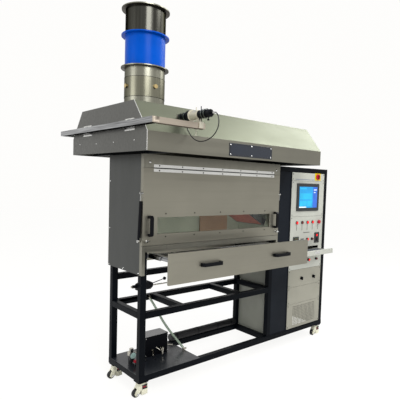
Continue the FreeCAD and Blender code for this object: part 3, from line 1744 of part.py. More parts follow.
def keyboard_tray():
    """The pull-out tray: front, floor and sides, with a keyboard on it, standing pulled out."""
    y_back = front - dims.desk_pulled + dims.desk_thick
    y_front = y_back - dims.desk_thick
    x_low, x_high = across(dims.panel_left), across(dims.panel_right)
    face = bar("x", (x_low, y_front, desk_low), (x_high, y_back, dims.desk_front_high), 2)
    in_low, in_high = across(dims.desk_left), across(dims.desk_right)
    wall = dims.desk_wall
    y_end = y_back + dims.desk_depth
    floor_z = desk_low + 10
    floor_plate = block((in_low, y_back, floor_z), (in_high, y_end, floor_z + wall))
    sides = [
        block((x, y_back, floor_z + wall), (x + wall, y_end, floor_z + 30))
        for x in (in_low, in_high - wall)
    ]
    keys = block(
        (in_low + 14, y_back + 12, floor_z + wall), (in_high - 14, y_back + 150, floor_z + 24)
    )
    node("keyboard_tray", group(face, floor_plate, *sides, keys))


def build():
    """Build every sub-part."""
    base_frame()
    upright_frame()
    base_tray()
    cable_sleeve()
    for name, x, y in corner_places():
        caster(name, x, y)
    front_surround()
    chamber_panels()
    chamber_liner()
    door()
    piano_hinge()
    gas_struts()
    radiant_panel()
    pilot_burner()
    drawer()
    hood()
    duct()
    measuring_rail()
    light_source()
    light_receiver()
    lever_valve()
    tray_fittings()
    cords()
    cabinet_panels()
    control_plates()
    vent_grille()
    controls()
    keyboard_tray()


def write_parts():
    """Check every object, then write each sub-part to its own file."""
    doc.recompute()
    failed = [item.Name for item in doc.Objects if {"Invalid", "Error"} & set(item.State)]
    if failed:
        raise RuntimeError(f"objects that failed to build: {', '.join(failed)}")
    for thing in nodes:
        if thing.Shape.isNull() or not thing.Shape.isValid() or not thing.Shape.Solids:
            raise RuntimeError(f"{thing.Label} has no valid solid")
    os.makedirs("parts", exist_ok=True)
    for thing in nodes:
        thing.Shape.exportStep(f"parts/{thing.Label}.step")
    print(f"wrote {len(nodes)} sub-parts")


build()
write_parts()
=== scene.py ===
"""Looks of a flooring radiant panel tester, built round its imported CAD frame."""

import json
import logging
import math
from dataclasses import dataclass
from enum import Enum
from functools import cache
from typing import Iterable, Optional, Sequence

import bmesh
import bpy
from mathutils import Matrix, Vector


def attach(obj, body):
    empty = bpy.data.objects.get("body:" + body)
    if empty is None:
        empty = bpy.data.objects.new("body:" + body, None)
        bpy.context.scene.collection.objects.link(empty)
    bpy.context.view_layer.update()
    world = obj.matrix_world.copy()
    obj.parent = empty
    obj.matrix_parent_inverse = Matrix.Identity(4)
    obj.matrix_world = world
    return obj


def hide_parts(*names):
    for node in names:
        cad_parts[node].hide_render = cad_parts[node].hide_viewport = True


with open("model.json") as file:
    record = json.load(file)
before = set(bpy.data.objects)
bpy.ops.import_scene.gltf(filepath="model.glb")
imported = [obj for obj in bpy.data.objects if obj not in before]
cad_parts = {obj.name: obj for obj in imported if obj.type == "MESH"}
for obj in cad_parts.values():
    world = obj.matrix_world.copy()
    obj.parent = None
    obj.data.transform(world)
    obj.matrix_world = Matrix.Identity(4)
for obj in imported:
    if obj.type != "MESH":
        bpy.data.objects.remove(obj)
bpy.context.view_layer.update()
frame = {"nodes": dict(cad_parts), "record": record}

LOG = logging.getLogger("radiant_panel_tester")
FRAME_LEFT = -1.025
FRAME_FRONT = -0.25
SHARP_ANGLE = math.radians(35)
ROUNDED_ANGLE = math.radians(40)
EVEN = (1.0, 1.0, 1.0)
Colour = tuple[float, float, float]
Place = tuple[float, float, float]
Span = tuple[float, float]


def spot(x: float, y: float, z: float) -> Vector:
    """Turn millimetres from the frame's left, front and floor into a place in metres.

    Args:
        x: Distance from the frame's left side.
        y: Distance behind the frame's front side.
        z: Height over the floor.

    Returns:
        The place in the row's frame.
    """
    return Vector((FRAME_LEFT + x / 1000, FRAME_FRONT + y / 1000, z / 1000))


class Axis(Enum):
    """A main direction of the object."""

    X = (1.0, 0.0, 0.0)
    Y = (0.0, 1.0, 0.0)
    Z = (0.0, 0.0, 1.0)


# ---- node tools -----------------------------------------------------------------------


def fill(node: bpy.types.Node, inputs: dict) -> None:
    """Set a node's inputs, by name or number."""
    for key, value in inputs.items():
        node.inputs[key].default_value = value


def add_node(
    tree: bpy.types.NodeTree, kind: str, inputs: Optional[dict] = None, **settings: object
) -> bpy.types.Node:
    """Add a node to a tree.

    Args:
        tree: The tree.
        kind: The node's type.
        inputs: Input name or number to value.
        **settings: The node's own settings.

    Returns:
        The node.
    """
    node = tree.nodes.new(kind)
    for key, value in settings.items():
        setattr(node, key, value)
    fill(node, inputs or {})
    return node


def wire(tree: bpy.types.NodeTree, *runs: tuple) -> None:
    """Link sockets, each run given as a node, its output, the next node and its input."""
    for source, output, target, entry in runs:
        tree.links.new(source.outputs[output], target.inputs[entry])


class ShaderGroups:
    """Shader node groups that several finishes share, each built once."""

    @staticmethod
    def start(
        name: str, inputs: dict[str, object], output: str, kind: str
    ) -> tuple[bpy.types.NodeTree, bpy.types.Node, bpy.types.Node]:
        """Make an empty group with its sockets.

        Args:
            name: The group's name.
            inputs: Socket name to its default; a tuple makes a colour or vector socket.
            output: The output's name.
            kind: The output's socket type.

        Returns:
            The group and its input and output nodes.
        """
        tree = bpy.data.node_groups.new(name, "ShaderNodeTree")
        for key, value in inputs.items():
            form = "NodeSocketFloat"
            if isinstance(value, tuple):
                form = "NodeSocketColor" if len(value) == 4 else "NodeSocketVector"
            socket = tree.interface.new_socket(key, in_out="INPUT", socket_type=form)
            socket.default_value = value
        tree.interface.new_socket(output, in_out="OUTPUT", socket_type=kind)
        return tree, add_node(tree, "NodeGroupInput"), add_node(tree, "NodeGroupOutput")

    @staticmethod
    @cache
    def mottle() -> bpy.types.NodeTree:
        """Give a colour that drifts between two tones, as paint and sheet metal do.

        Returns:
            The group, with inputs Tone, Other and Scale, and output Color.
        """
        tree, given, result = ShaderGroups.start(
            "mottle", {"Tone": (*EVEN, 1.0), "Other": (*EVEN, 1.0), "Scale": 4.0},
            "Color", "NodeSocketColor",
        )
        place = add_node(tree, "ShaderNodeTexCoord")
        broad = add_node(tree, "ShaderNodeTexNoise", {"Detail": 4.0})
        reach = add_node(tree, "ShaderNodeMapRange", {"From Min": 0.35, "From Max": 0.65})
        mix = add_node(tree, "ShaderNodeMix", data_type="RGBA")
        wire(
            tree, (place, "Object", broad, "Vector"), (given, "Scale", broad, "Scale"),
            (broad, "Fac", reach, "Value"), (reach, "Result", mix, "Factor"),
            (given, "Tone", mix, "A"), (given, "Other", mix, "B"),
            (mix, "Result", result, "Color"),
        )
        return tree

    @staticmethod
    @cache
    def grain() -> bpy.types.NodeTree:
        """Give fine streaks drawn out along one axis, as brushing leaves them.

        Returns:
            The group, with inputs Stretch, Scale, Low and High, and output Value.
        """
        tree, given, result = ShaderGroups.start(
            "grain", {"Stretch": EVEN, "Scale": 60.0, "Low": 0.2, "High": 0.5},
            "Value", "NodeSocketFloat",
        )
        place = add_node(tree, "ShaderNodeTexCoord")
        drawn = add_node(tree, "ShaderNodeVectorMath", operation="MULTIPLY")
        streaks = add_node(tree, "ShaderNodeTexNoise", {"Detail": 2.0, "Roughness": 0.65})
        reach = add_node(tree, "ShaderNodeMapRange", {"From Min": 0.3, "From Max": 0.7})
        wire(
            tree, (place, "Object", drawn, 0), (given, "Stretch", drawn, 1),
            (drawn, "Vector", streaks, "Vector"), (given, "Scale", streaks, "Scale"),
            (streaks, "Fac", reach, "Value"), (given, "Low", reach, "To Min"),
            (given, "High", reach, "To Max"), (reach, "Result", result, "Value"),
        )
        return tree


# ---- finishes -------------------------------------------------------------------------


@dataclass(frozen=True)
class Finish:
    """A finish: the part that every material of the object has in common."""

    name: str
    colour: Colour
    rough: float = 0.5

    def material(self) -> bpy.types.Material:
        """Build the material once, and return it after that.

        Returns:
            The material.
        """
        title = f"{self.name}_finish"
        made = bpy.data.materials.get(title)
        if made is None:
            made = bpy.data.materials.new(title)
            made.use_nodes = True
            made.diffuse_color = self.shade(1.0)
            shader = made.node_tree.nodes["Principled BSDF"]
            fill(shader, {"Base Color": self.shade(1.0), "Roughness": self.rough})
            self.dress(made.node_tree, shader)
        return made

    def dress(self, tree: bpy.types.NodeTree, shader: bpy.types.Node) -> None:
        """Add what sets this finish apart; the plain finish adds nothing."""

    def shade(self, share: float) -> tuple[float, ...]:
        """Give the finish's colour, lighter or darker by a share."""
        return (*(min(channel * share, 1.0) for channel in self.colour), 1.0)

    def drift(self, tree: bpy.types.NodeTree, other: float, scale: float) -> bpy.types.Node:
        """Place the shared mottle.

        Args:
            tree: The material's node tree.
            other: The second tone, as a share of the finish's colour.
            scale: How fine the drift is.

        Returns:
            The group node.
        """
        tones = {"Tone": self.shade(1.0), "Other": self.shade(other), "Scale": scale}
        return add_node(tree, "ShaderNodeGroup", tones, node_tree=ShaderGroups.mottle())

    def streaks(
        self, tree: bpy.types.NodeTree, scale: float, low: float, high: float,
        stretch: tuple = EVEN,
    ) -> bpy.types.Node:
        """Place the shared grain.

        Args:
            tree: The material's node tree.
            scale: How fine the grain is.
            low: The lowest value that it gives.
            high: The highest one, kept to 1.
            stretch: How far the grain is squeezed along each axis.

        Returns:
            The group node.
        """
        reach = {"Stretch": stretch, "Scale": scale, "Low": low, "High": min(high, 1.0)}
        return add_node(tree, "ShaderNodeGroup", reach, node_tree=ShaderGroups.grain())

    def relieve(
        self, tree: bpy.types.NodeTree, shader: bpy.types.Node, height: bpy.types.Node,
        strength: float, depth: float,
    ) -> None:
        """Raise a grain as a fine relief.

        Args:
            tree: The material's node tree.
            shader: Its Principled BSDF.
            height: The grain.
            strength: The relief's strength.
            depth: Its depth in metres.
        """
        bump = add_node(tree, "ShaderNodeBump", {"Strength": strength, "Distance": depth})
        wire(tree, (height, "Value", bump, "Height"), (bump, "Normal", shader, "Normal"))


@dataclass(frozen=True)
class Paint(Finish):
    """Powder coat, lacquer or moulded plastic: a tone that drifts, over a fine texture."""

    spread: float = 0.8
    texture: float = 0.06
    gloss: float = 0.35
    coat: float = 0.0
    metal: float = 0.0
    peel_scale: float = 450.0
    peel_depth: float = 0.0004
    sheen_scale: float = 9.0
    sheen_spread: float = 0.15
    cloud_scale: float = 3.0

    def dress(self, tree: bpy.types.NodeTree, shader: bpy.types.Node) -> None:
        """Drift the colour and roughness, and give the surface its orange peel.

        Args:
            tree: The material's node tree.
            shader: Its Principled BSDF.
        """
        fill(shader, {"Coat Weight": self.coat, "Specular IOR Level": self.gloss,
                      "Metallic": self.metal})
        tone = self.drift(tree, self.spread, self.cloud_scale)
        peel = self.streaks(tree, self.peel_scale, 0.0, 1.0)
        sheen = self.streaks(tree, self.sheen_scale, self.rough * (1 - self.sheen_spread),
                             self.rough * (1 + self.sheen_spread))
        self.relieve(tree, shader, peel, self.texture, self.peel_depth)
        wire(tree, (tone, "Color", shader, "Base Color"), (sheen, "Value", shader, "Roughness"))


@dataclass(frozen=True)
class Metal(Finish):
    """Sheet or bar metal with a grain along one axis, and broad soft clouding."""

    along: Axis = Axis.X
    contrast: float = 0.1
    scale: float = 45.0
    draw: float = 0.02
    relief: float = 0.04
    rim_tint: float = 1.0
    uneven: float = 1.0
    cloud_share: float = 0.9
    cloud_scale: float = 1.6
    relief_depth: float = 0.0005
    sheen_spread: Span = (0.2, 0.25)

    def dress(self, tree: bpy.types.NodeTree, shader: bpy.types.Node) -> None:
        """Brush the colour, roughness and relief along the grain.

        Args:
            tree: The material's node tree.
            shader: Its Principled BSDF.
        """
        fill(shader, {"Metallic": 1.0, "Specular Tint": (*(self.rim_tint,) * 3, 1.0)})
        stretch = tuple(self.draw if part else 1.0 for part in self.along.value)
        cloud = self.drift(tree, self.cloud_share, self.cloud_scale)
        streak = self.streaks(tree, self.scale, 1.0 - self.contrast, 1.0, stretch)
        under, over = (spread * self.uneven for spread in self.sheen_spread)
        sheen = self.streaks(tree, self.scale, self.rough * (1 - under),
                             self.rough * (1 + over), stretch)
        brushed = add_node(tree, "ShaderNodeMix", {"Factor": 1.0}, data_type="RGBA",
                           blend_type="MULTIPLY")
        self.relieve(tree, shader, streak, self.relief, self.relief_depth)
        wire(
            tree, (cloud, "Color", brushed, "A"), (streak, "Value", brushed, "B"),
            (brushed, "Result", shader, "Base Color"), (sheen, "Value", shader, "Roughness"),
        )


@dataclass(frozen=True)
class Clear(Finish):
    """Window glass, faintly tinted."""

    bend: float = 1.2
    smear_scale: float = 6.0
    smear_spread: float = 0.5

    def dress(self, tree: bpy.types.NodeTree, shader: bpy.types.Node) -> None:
        """Let light through, and smear the surface a little.

        Args:
            tree: The material's node tree.
            shader: Its Principled BSDF.
        """
        fill(shader, {"Transmission Weight": 1.0, "IOR": self.bend})
        smear = self.streaks(tree, self.smear_scale, self.rough * (1 - self.smear_spread),
                             self.rough * (1 + self.smear_spread))
        wire(tree, (smear, "Value", shader, "Roughness"))


@dataclass(frozen=True)
class Glowing(Finish):
    """A lit display or lamp: its colour shows by its own light."""

    strength: float = 0.6
    dim_share: float = 0.85
    cloud_scale: float = 14.0

    def dress(self, tree: bpy.types.NodeTree, shader: bpy.types.Node) -> None:
        """Light the surface from within.

        Args:
            tree: The material's node tree.
            shader: Its Principled BSDF.
        """
        fill(shader, {"Emission Strength": self.strength})
        tone = self.drift(tree, self.dim_share, self.cloud_scale)
        wire(tree, (tone, "Color", shader, "Emission Color"), (tone, "Color", shader, "Base Color"))


@dataclass(frozen=True)
class Perforated(Finish):
    """Fired ceramic with rows of fine flame holes."""

    pitch: float = 0.008
    scatter: float = 0.15
    hole_edge: Span = (0.25, 0.4)
    hole_share: float = 0.35
    cool_share: float = 0.75
    cloud_scale: float = 12.0

    def dress(self, tree: bpy.types.NodeTree, shader: bpy.types.Node) -> None:
        """Dot the surface with dark holes in a grid.

        Args:
            tree: The material's node tree.
            shader: Its Principled BSDF.
        """
        place = add_node(tree, "ShaderNodeTexCoord")
        cells = add_node(tree, "ShaderNodeTexVoronoi",
                         {"Scale": 1.0 / self.pitch, "Randomness": self.scatter})
        inner, outer = self.hole_edge
        hole = add_node(tree, "ShaderNodeMapRange", {"From Min": inner, "From Max": outer})
        tone = self.drift(tree, self.cool_share, self.cloud_scale)
        mix = add_node(tree, "ShaderNodeMix", data_type="RGBA")
        fill(mix, {"A": self.shade(self.hole_share)})
        wire(
            tree, (place, "Object", cells, "Vector"), (cells, "Distance", hole, "Value"),
            (hole, "Result", mix, "Factor"), (tone, "Color", mix, "B"),
            (mix, "Result", shader, "Base Color"),
        )


BLACK_COAT = Paint("black_coat", (0.003, 0.0042, 0.0062), 0.36, spread=0.75, gloss=0.045)
CHARCOAL_COAT = Paint("charcoal_coat", (0.009, 0.0115, 0.016), 0.5, spread=0.8, gloss=0.07)
TRAY_COAT = Paint("tray_coat", (0.017, 0.02, 0.025), 0.3, spread=0.7, gloss=0.4)
BLACK_PLASTIC = Paint("black_plastic", (0.004, 0.0045, 0.006), 0.36, gloss=0.08)
SLEEVE_PLASTIC = Paint("sleeve_plastic", (0.008, 0.008, 0.009), 0.45, texture=0.2, gloss=0.3)
TYRE_PLASTIC = Paint("tyre_plastic", (0.012, 0.012, 0.013), 0.5)
FOOT_RUBBER = Paint("foot_rubber", (0.04, 0.038, 0.035), 0.75)
IVORY_CAST = Paint("ivory_cast", (0.76, 0.74, 0.58), 0.45, spread=0.9, texture=0.15)
RED_PLASTIC = Paint("red_plastic", (0.5, 0.012, 0.03), 0.28, texture=0.05, gloss=0.25)
DARK_RED_PLASTIC = Paint("dark_red_plastic", (0.14, 0.010, 0.012), 0.3, texture=0.05)
YELLOW_PLATE = Paint("yellow_plate", (0.76, 0.56, 0.004), 0.4, texture=0.05, gloss=0.15)
PANEL_COAT = Paint("panel_coat", (0.47, 0.475, 0.42), 0.42, spread=0.9)
# Painted shade: a darker copy of the panel coat for the lower control plates and the vent grille.
SHADED_PANEL_COAT = Paint("lower_coat", (0.30, 0.29, 0.235), 0.45, spread=0.85)
SHEET_COAT = Paint("sheet_coat", (0.25, 0.255, 0.215), 0.5, spread=0.85)
LABEL_GREY = Paint("label_grey", (0.15, 0.15, 0.135), 0.4)
PANEL_BLACK = Paint("panel_black", (0.012, 0.012, 0.013), 0.3, texture=0.05)
METER_FACE = Glowing("meter_face", (0.02, 0.05, 0.02), 0.4, strength=0.15)
BLUE_LACQUER = Paint(
    "blue_lacquer", (0.0, 0.08, 0.5), 0.3, spread=0.8, texture=0.03, gloss=0.06
)
LINER_BOARD = Paint("liner_board", (0.42, 0.44, 0.34), 0.85, spread=0.75, texture=0.3)
SCORCHED_BOARD = Paint("scorched_board", (0.40, 0.25, 0.155), 0.8, spread=0.65, texture=0.3)
PUMP_COAT = Paint("pump_coat", (0.0035, 0.004, 0.006), 0.4, gloss=0.05)
# Painted sheen: a lighter grey copy of the pump's black coat for its up-facing top.
PUMP_PAINTED_SHEEN = Paint("pump_lid", (0.06, 0.06, 0.065), 0.25, gloss=1.0)
BOWL_PLASTIC = Paint("bowl_plastic", (0.012, 0.012, 0.014), 0.2, texture=0.05, coat=0.4)
GAUGE_FACE = Paint("gauge_face", (0.42, 0.62, 0.56), 0.3, texture=0.03, coat=0.4)
HOSE_RUBBER = Paint("hose_rubber", (0.36, 0.44, 0.34), 0.4, spread=0.85)
CABLE_RUBBER = Paint("cable_rubber", (0.006, 0.006, 0.007), 0.45)
PLATE_BLUE = Paint("plate_blue", (0.008, 0.013, 0.024), 0.25, texture=0.04, coat=0.3)
CREAM_ANODISED = Paint("cream_anodised", (0.50, 0.47, 0.38), 0.35, metal=0.3)
KEY_PLASTIC = Paint("key_plastic", (0.07, 0.08, 0.095), 0.5)
DOOR_STEEL = Metal("door_steel", (0.285, 0.273, 0.225), 0.44, contrast=0.05)
JAMB_STEEL = Metal("jamb_steel", (0.27, 0.262, 0.22), 0.4, along=Axis.Z, contrast=0.04)
HOOD_STEEL = Metal("hood_steel", (0.215, 0.208, 0.172), 0.36, contrast=0.05)
# Painted shade: a darker, greener copy of the hood steel for the hood's up-facing slope.
HOOD_SLOPE_PAINTED_SHADE = Metal(
    "hood_slope_steel", (0.163, 0.175, 0.127), 0.46, contrast=0.03, scale=7.0,
    draw=0.3, relief=0.0, uneven=0.4,
)
FLANGE_SHADE = Metal("flange_shade", (0.085, 0.075, 0.06), 0.45, contrast=0.1)
# Painted shade: a darker copy of the hood steel for the hood's left-facing end.
HOOD_END_PAINTED_SHADE = Metal("hood_end_steel", (0.126, 0.126, 0.118), 0.42, contrast=0.05)
SIDE_STEEL = Metal(
    "side_steel", (0.084, 0.087, 0.084), 0.48, along=Axis.Z, contrast=0.03, scale=9.0,
    draw=0.3, relief=0.0, uneven=0.3,
)
DUCT_STEEL = Metal(
    "duct_steel", (0.215, 0.212, 0.172), 0.3, along=Axis.Z, contrast=0.15, rim_tint=0.4
)
# Dark steel for the duct's upper length, a painted dark reflection of the room, and for its clamp
# seams, whose darkness is the joints' own.
DUCT_PAINTED_REFLECTION_AND_SEAM = Metal(
    "duct_dark", (0.06, 0.059, 0.051), 0.22, along=Axis.Z, contrast=0.35, rim_tint=0.3
)
SLEEVE_STEEL = Metal(
    "sleeve_steel", (0.192, 0.187, 0.142), 0.28, along=Axis.Z, contrast=0.25, rim_tint=0.4
)
SCREW_DARK = Metal("screw_dark", (0.05, 0.045, 0.035), 0.4)
KNURL_GREY = Metal("knurl_grey", (0.14, 0.16, 0.15), 0.35)
RULE_BLUE = Paint("rule_blue", (0.16, 0.19, 0.28), 0.4)
BRIGHT_STEEL = Metal("bright_steel", (0.68, 0.68, 0.66), 0.25, relief=0.01)
RAIL_STEEL = Metal(
    "rail_steel", (0.4, 0.405, 0.415), 0.16, along=Axis.Y, contrast=0.65, scale=130.0,
    relief=0.0,
)
# Painted reflection: a warm tone for the face of the rail's front run.
RAIL_PAINTED_REFLECTION = Metal("rail_warm", (0.46, 0.40, 0.33), 0.35, relief=0.0)
STRUT_STEEL = Metal("strut_steel", (0.35, 0.35, 0.34), 0.25, along=Axis.Z)
CHROME = Metal("chrome", (0.66, 0.66, 0.65), 0.12, along=Axis.Z, contrast=0.04, relief=0.01)
BRASS = Metal("brass", (0.55, 0.42, 0.20), 0.25, along=Axis.Z)
NICKEL = Metal("nickel", (0.50, 0.48, 0.42), 0.22)
WINDOW_GLASS = Clear("window_glass", (0.93, 0.96, 0.93), 0.02)
CERAMIC = Perforated("ceramic", (0.42, 0.12, 0.08), 0.8)
SCREEN_BLUE = Glowing("screen_blue", (0.006, 0.24, 0.52), 0.4)
SCREEN_LIGHT = Glowing("screen_light", (0.01, 0.33, 0.56), 0.4)
SCREEN_NAVY = Glowing("screen_navy", (0.02, 0.10, 0.45), 0.4)
SCREEN_WHITE = Glowing("screen_white", (0.6, 0.7, 0.75), 0.4)
BEZEL = Paint("bezel", (0.018, 0.02, 0.022), 0.35, texture=0.05)
RED_LENS = Glowing("red_lens", (0.8, 0.0, 0.002), 0.5, strength=0.7)


# ---- mesh tools -----------------------------------------------------------------------


def dress(piece: bpy.types.Object, *finishes: Finish) -> bpy.types.Object:
    """Give a piece its materials.

    Args:
        piece: The piece, with no materials but a repeat's own.
        *finishes: Its finishes, in slot order.

    Returns:
        The piece.
    """
    if len(piece.data.materials):
        piece.data.materials.clear()
    for finish in finishes:
        piece.data.materials.append(finish.material())
    return piece


def mesh_of(name: str, form: bmesh.types.BMesh) -> bpy.types.Mesh:
    """Keep a finished form as a mesh, and free the form.

    Args:
        name: The mesh's name.
        form: The form.

    Returns:
        The mesh.
    """
    mesh = bpy.data.meshes.new(name)
    form.to_mesh(mesh)
    form.free()
    return mesh


def in_scene(name: str, data: bpy.types.ID) -> bpy.types.Object:
    """Make an object of the scene.

    Args:
        name: Its name.
        data: Its mesh, curve, lamp or camera.

    Returns:
        The object, at the origin.
    """
    made = bpy.data.objects.new(name, data)
    bpy.context.scene.collection.objects.link(made)
    return made


def soften(piece: bpy.types.Object, width: float) -> bpy.types.Object:
    """Round a piece's sharp edges.

    Args:
        piece: The piece.
        width: The rounding's width in metres.

    Returns:
        The piece.
    """
    rounding = piece.modifiers.new("rounding", "BEVEL")
    rounding.width = width
    rounding.segments = 2
    rounding.limit_method = "ANGLE"
    rounding.angle_limit = ROUNDED_ANGLE
    rounding.harden_normals = True
    return piece


def smooth(piece: bpy.types.Object) -> bpy.types.Object:
    """Shade a piece smoothly, with its sharp edges kept.

    Args:
        piece: The piece.

    Returns:
        The piece.
    """
    for face in piece.data.polygons:
        face.use_smooth = True
    form = bmesh.new()
    form.from_mesh(piece.data)
    for edge in form.edges:
        paired = len(edge.link_faces) == 2
        edge.smooth = paired and edge.calc_face_angle(0.0) < SHARP_ANGLE
    form.to_mesh(piece.data)
    form.free()
    return piece


def new_piece(name: str, form: bmesh.types.BMesh, *finishes: Finish) -> bpy.types.Object:
    """Turn a finished form into a smoothly shaded object of the scene."""
    return smooth(dress(in_scene(name, mesh_of(name, form)), *finishes))


def box_form(form: bmesh.types.BMesh, low: Vector, high: Vector) -> None:
    """Add a box to a form, by its lowest and highest corners."""
    place = Matrix.Translation((low + high) / 2) @ Matrix.Diagonal((*(high - low), 1.0))
    bmesh.ops.create_cube(form, size=1.0, matrix=place)


def turned_form(
    form: bmesh.types.BMesh, base: Vector, axis: Vector, profile: Sequence[Span], steps: int,
    hollow: bool = False,
) -> None:
    """Add a turned solid, or a turned ring, to a form.

    Args:
        form: The form.
        base: Where the profile's zero lies.
        axis: The turning axis.
        profile: Points of (distance along the axis, radius), in metres.
        steps: Corners round the axis.
        hollow: Whether the profile runs round a ring's wall, so that the middle stays open.
    """
    turn = UPWARD.rotation_difference(axis.normalized()).to_matrix()
    rings = []
    for along, radius in profile:
        ring = []
        for step in range(steps):
            angle = math.tau * step / steps
            local = Vector((radius * math.cos(angle), radius * math.sin(angle), along))
            ring.append(form.verts.new(base + turn @ local))
        rings.append(ring)
    if hollow:
        rings.append(rings[0])
    else:
        form.faces.new(list(reversed(rings[0])))
        form.faces.new(rings[-1])
    for lower, upper in zip(rings, rings[1:]):
        for step in range(steps):
            after = (step + 1) % steps
            form.faces.new((lower[step], lower[after], upper[after], upper[step]))


def body_of(node: str) -> str:
    """Name the CAD body that a node belongs to."""
    groups = frame["record"]["behaviour"]["bodies"]
    return next(body for body, members in groups.items() if node in members)


def mount(piece: bpy.types.Object, body: str) -> None:
    """Let a piece ride on a body, and report it."""
    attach(piece, body)
    LOG.info("%s rides on %s", piece.name, body)


# ---- repeats --------------------------------------------------------------------------


class Repeats:
    """Geometry Nodes that set many like pieces in a row or a grid."""

    @staticmethod
    @cache
    def grid_tree() -> bpy.types.NodeTree:
        """Build the tree once.

        Returns:
            The tree, with inputs Prototype, Finish, Start, Step, Count, Rise and Rows.
        """
        tree = bpy.data.node_groups.new("set_in_grid", "GeometryNodeTree")
        for name, kind in (
            ("Prototype", "Object"), ("Finish", "Material"), ("Start", "Vector"),
            ("Step", "Vector"), ("Count", "Int"), ("Rise", "Vector"), ("Rows", "Int"),
        ):
            tree.interface.new_socket(name, in_out="INPUT", socket_type=f"NodeSocket{kind}")
        tree.interface.new_socket("Geometry", in_out="OUTPUT", socket_type="NodeSocketGeometry")
        given, result, row, column, on_column, points, fetch, on_points, solid, coat = (
            add_node(tree, kind) for kind in (
                "NodeGroupInput", "NodeGroupOutput", "GeometryNodeMeshLine",
                "GeometryNodeMeshLine", "GeometryNodeInstanceOnPoints",
                "GeometryNodeRealizeInstances", "GeometryNodeObjectInfo",
                "GeometryNodeInstanceOnPoints", "GeometryNodeRealizeInstances",
                "GeometryNodeSetMaterial",
            )
        )
        wire(
            tree, (given, "Start", row, "Start Location"), (given, "Step", row, "Offset"),
            (given, "Count", row, "Count"), (given, "Rise", column, "Offset"),
            (given, "Rows", column, "Count"), (column, "Mesh", on_column, "Points"),
            (row, "Mesh", on_column, "Instance"), (on_column, "Instances", points, "Geometry"),
            (given, "Prototype", fetch, "Object"), (points, "Geometry", on_points, "Points"),
            (fetch, "Geometry", on_points, "Instance"),
            (on_points, "Instances", solid, "Geometry"), (solid, "Geometry", coat, "Geometry"),
            (given, "Finish", coat, "Material"), (coat, "Geometry", result, "Geometry"),
        )
        return tree

    @classmethod
    def grid(
        cls, name: str, prototype: bpy.types.Object, finish: Finish, start: Vector,
        step: Vector, count: int, rise: Vector = Vector(), rows: int = 1,
    ) -> bpy.types.Object:
        """Set a prototype in a row or a grid, and keep the result as a plain mesh.

        Args:
            name: The new piece's name.
            prototype: What is repeated; it is left out of the scene's pieces.
            finish: The repeats' finish.
            start: The first one's place.
            step: From one to the next.
            count: How many in a row.
            rise: From one row to the next.
            rows: How many rows.

        Returns:
            The piece, at the origin.
        """
        tree = cls.grid_tree()
        holder = in_scene(f"{name}_holder", bpy.data.meshes.new(f"{name}_holder"))
        setter = holder.modifiers.new("repeat", "NODES")
        setter.node_group = tree
        given = {
            "Prototype": prototype, "Finish": finish.material(), "Start": start, "Step": step,
            "Count": count, "Rise": rise, "Rows": rows,
        }
        for item in tree.interface.items_tree:
            if item.in_out == "INPUT":
                setter[item.identifier] = given[item.name]
        bpy.context.view_layer.update()
        seen = holder.evaluated_get(bpy.context.evaluated_depsgraph_get())
        mesh = bpy.data.meshes.new_from_object(seen)
        mesh.name = name
        bpy.data.objects.remove(holder)
        return dress(in_scene(name, mesh), finish)


class Fastener(Enum):
    """The kinds of small fastener, by head radius and height in metres."""

    PAN_SCREW = (0.0052, 0.0024)
    DOME_SCREW = (0.006, 0.003)

    def prototype(self, axis: Vector) -> bpy.types.Object:
        """Make the fastener's head once, standing out along an axis.

        Args:
            axis: The way the head stands out.

        Returns:
            The prototype, which isn't in the scene.
        """
        name = f"prototype_{self.name.lower()}_{axis.x:.0f}_{axis.y:.0f}_{axis.z:.0f}"
        made = bpy.data.objects.get(name)
        if made is None:
            radius, height = self.value
            profile = ((-0.001, radius), (height * 0.4, radius),
                       (height * 0.85, radius * 0.7), (height, radius * 0.35))
            form = bmesh.new()
            turned_form(form, Vector(), axis, profile, 12)
            made = bpy.data.objects.new(name, mesh_of(name, form))
        return made


# ---- sub-assemblies -------------------------------------------------------------------

FORWARD = Vector((0, -1, 0))
LEFTWARD = Vector((-1, 0, 0))
RIGHTWARD = Vector((1, 0, 0))
UPWARD = Vector((0, 0, 1))
DOWNWARD = Vector((0, 0, -1))
ANYWHERE = (-math.inf, math.inf)


def below(limit: float) -> Span:
    """Give the span under a limit."""
    return (-math.inf, limit)


def above(limit: float) -> Span:
    """Give the span over a limit."""
    return (limit, math.inf)


@dataclass(frozen=True)
class Zone:
    """Where the faces of a CAD form take another finish.

    The spans x, y and z hold a face's middle, in millimetres from the frame's left, front and
    floor. The span reach holds its distance from a line, whose axis is given as a place with
    None along the line. Its normal turns towards facing by more than the cosine lean.
    """

    finish: Finish
    x: Span = ANYWHERE
    y: Span = ANYWHERE
    z: Span = ANYWHERE
    axis: tuple[Optional[float], ...] = (None, None, None)
    reach: Span = ANYWHERE
    facing: Optional[Vector] = None
    lean: float = 0.7

    def holds(self, place: Vector, normal: Vector) -> bool:
        """Tell whether a face is in the zone.

        Args:
            place: The face's middle, in metres.
            normal: Its normal.

        Returns:
            Whether it is.
        """
        at = [1000 * value for value in place - spot(0, 0, 0)]
        off = [value - centre for value, centre in zip(at, self.axis) if centre is not None]
        checks = zip((*at, math.hypot(*off)), (self.x, self.y, self.z, self.reach))
        if not all(low < value < high for value, (low, high) in checks):
            return False
        return self.facing is None or normal.dot(self.facing) > self.lean


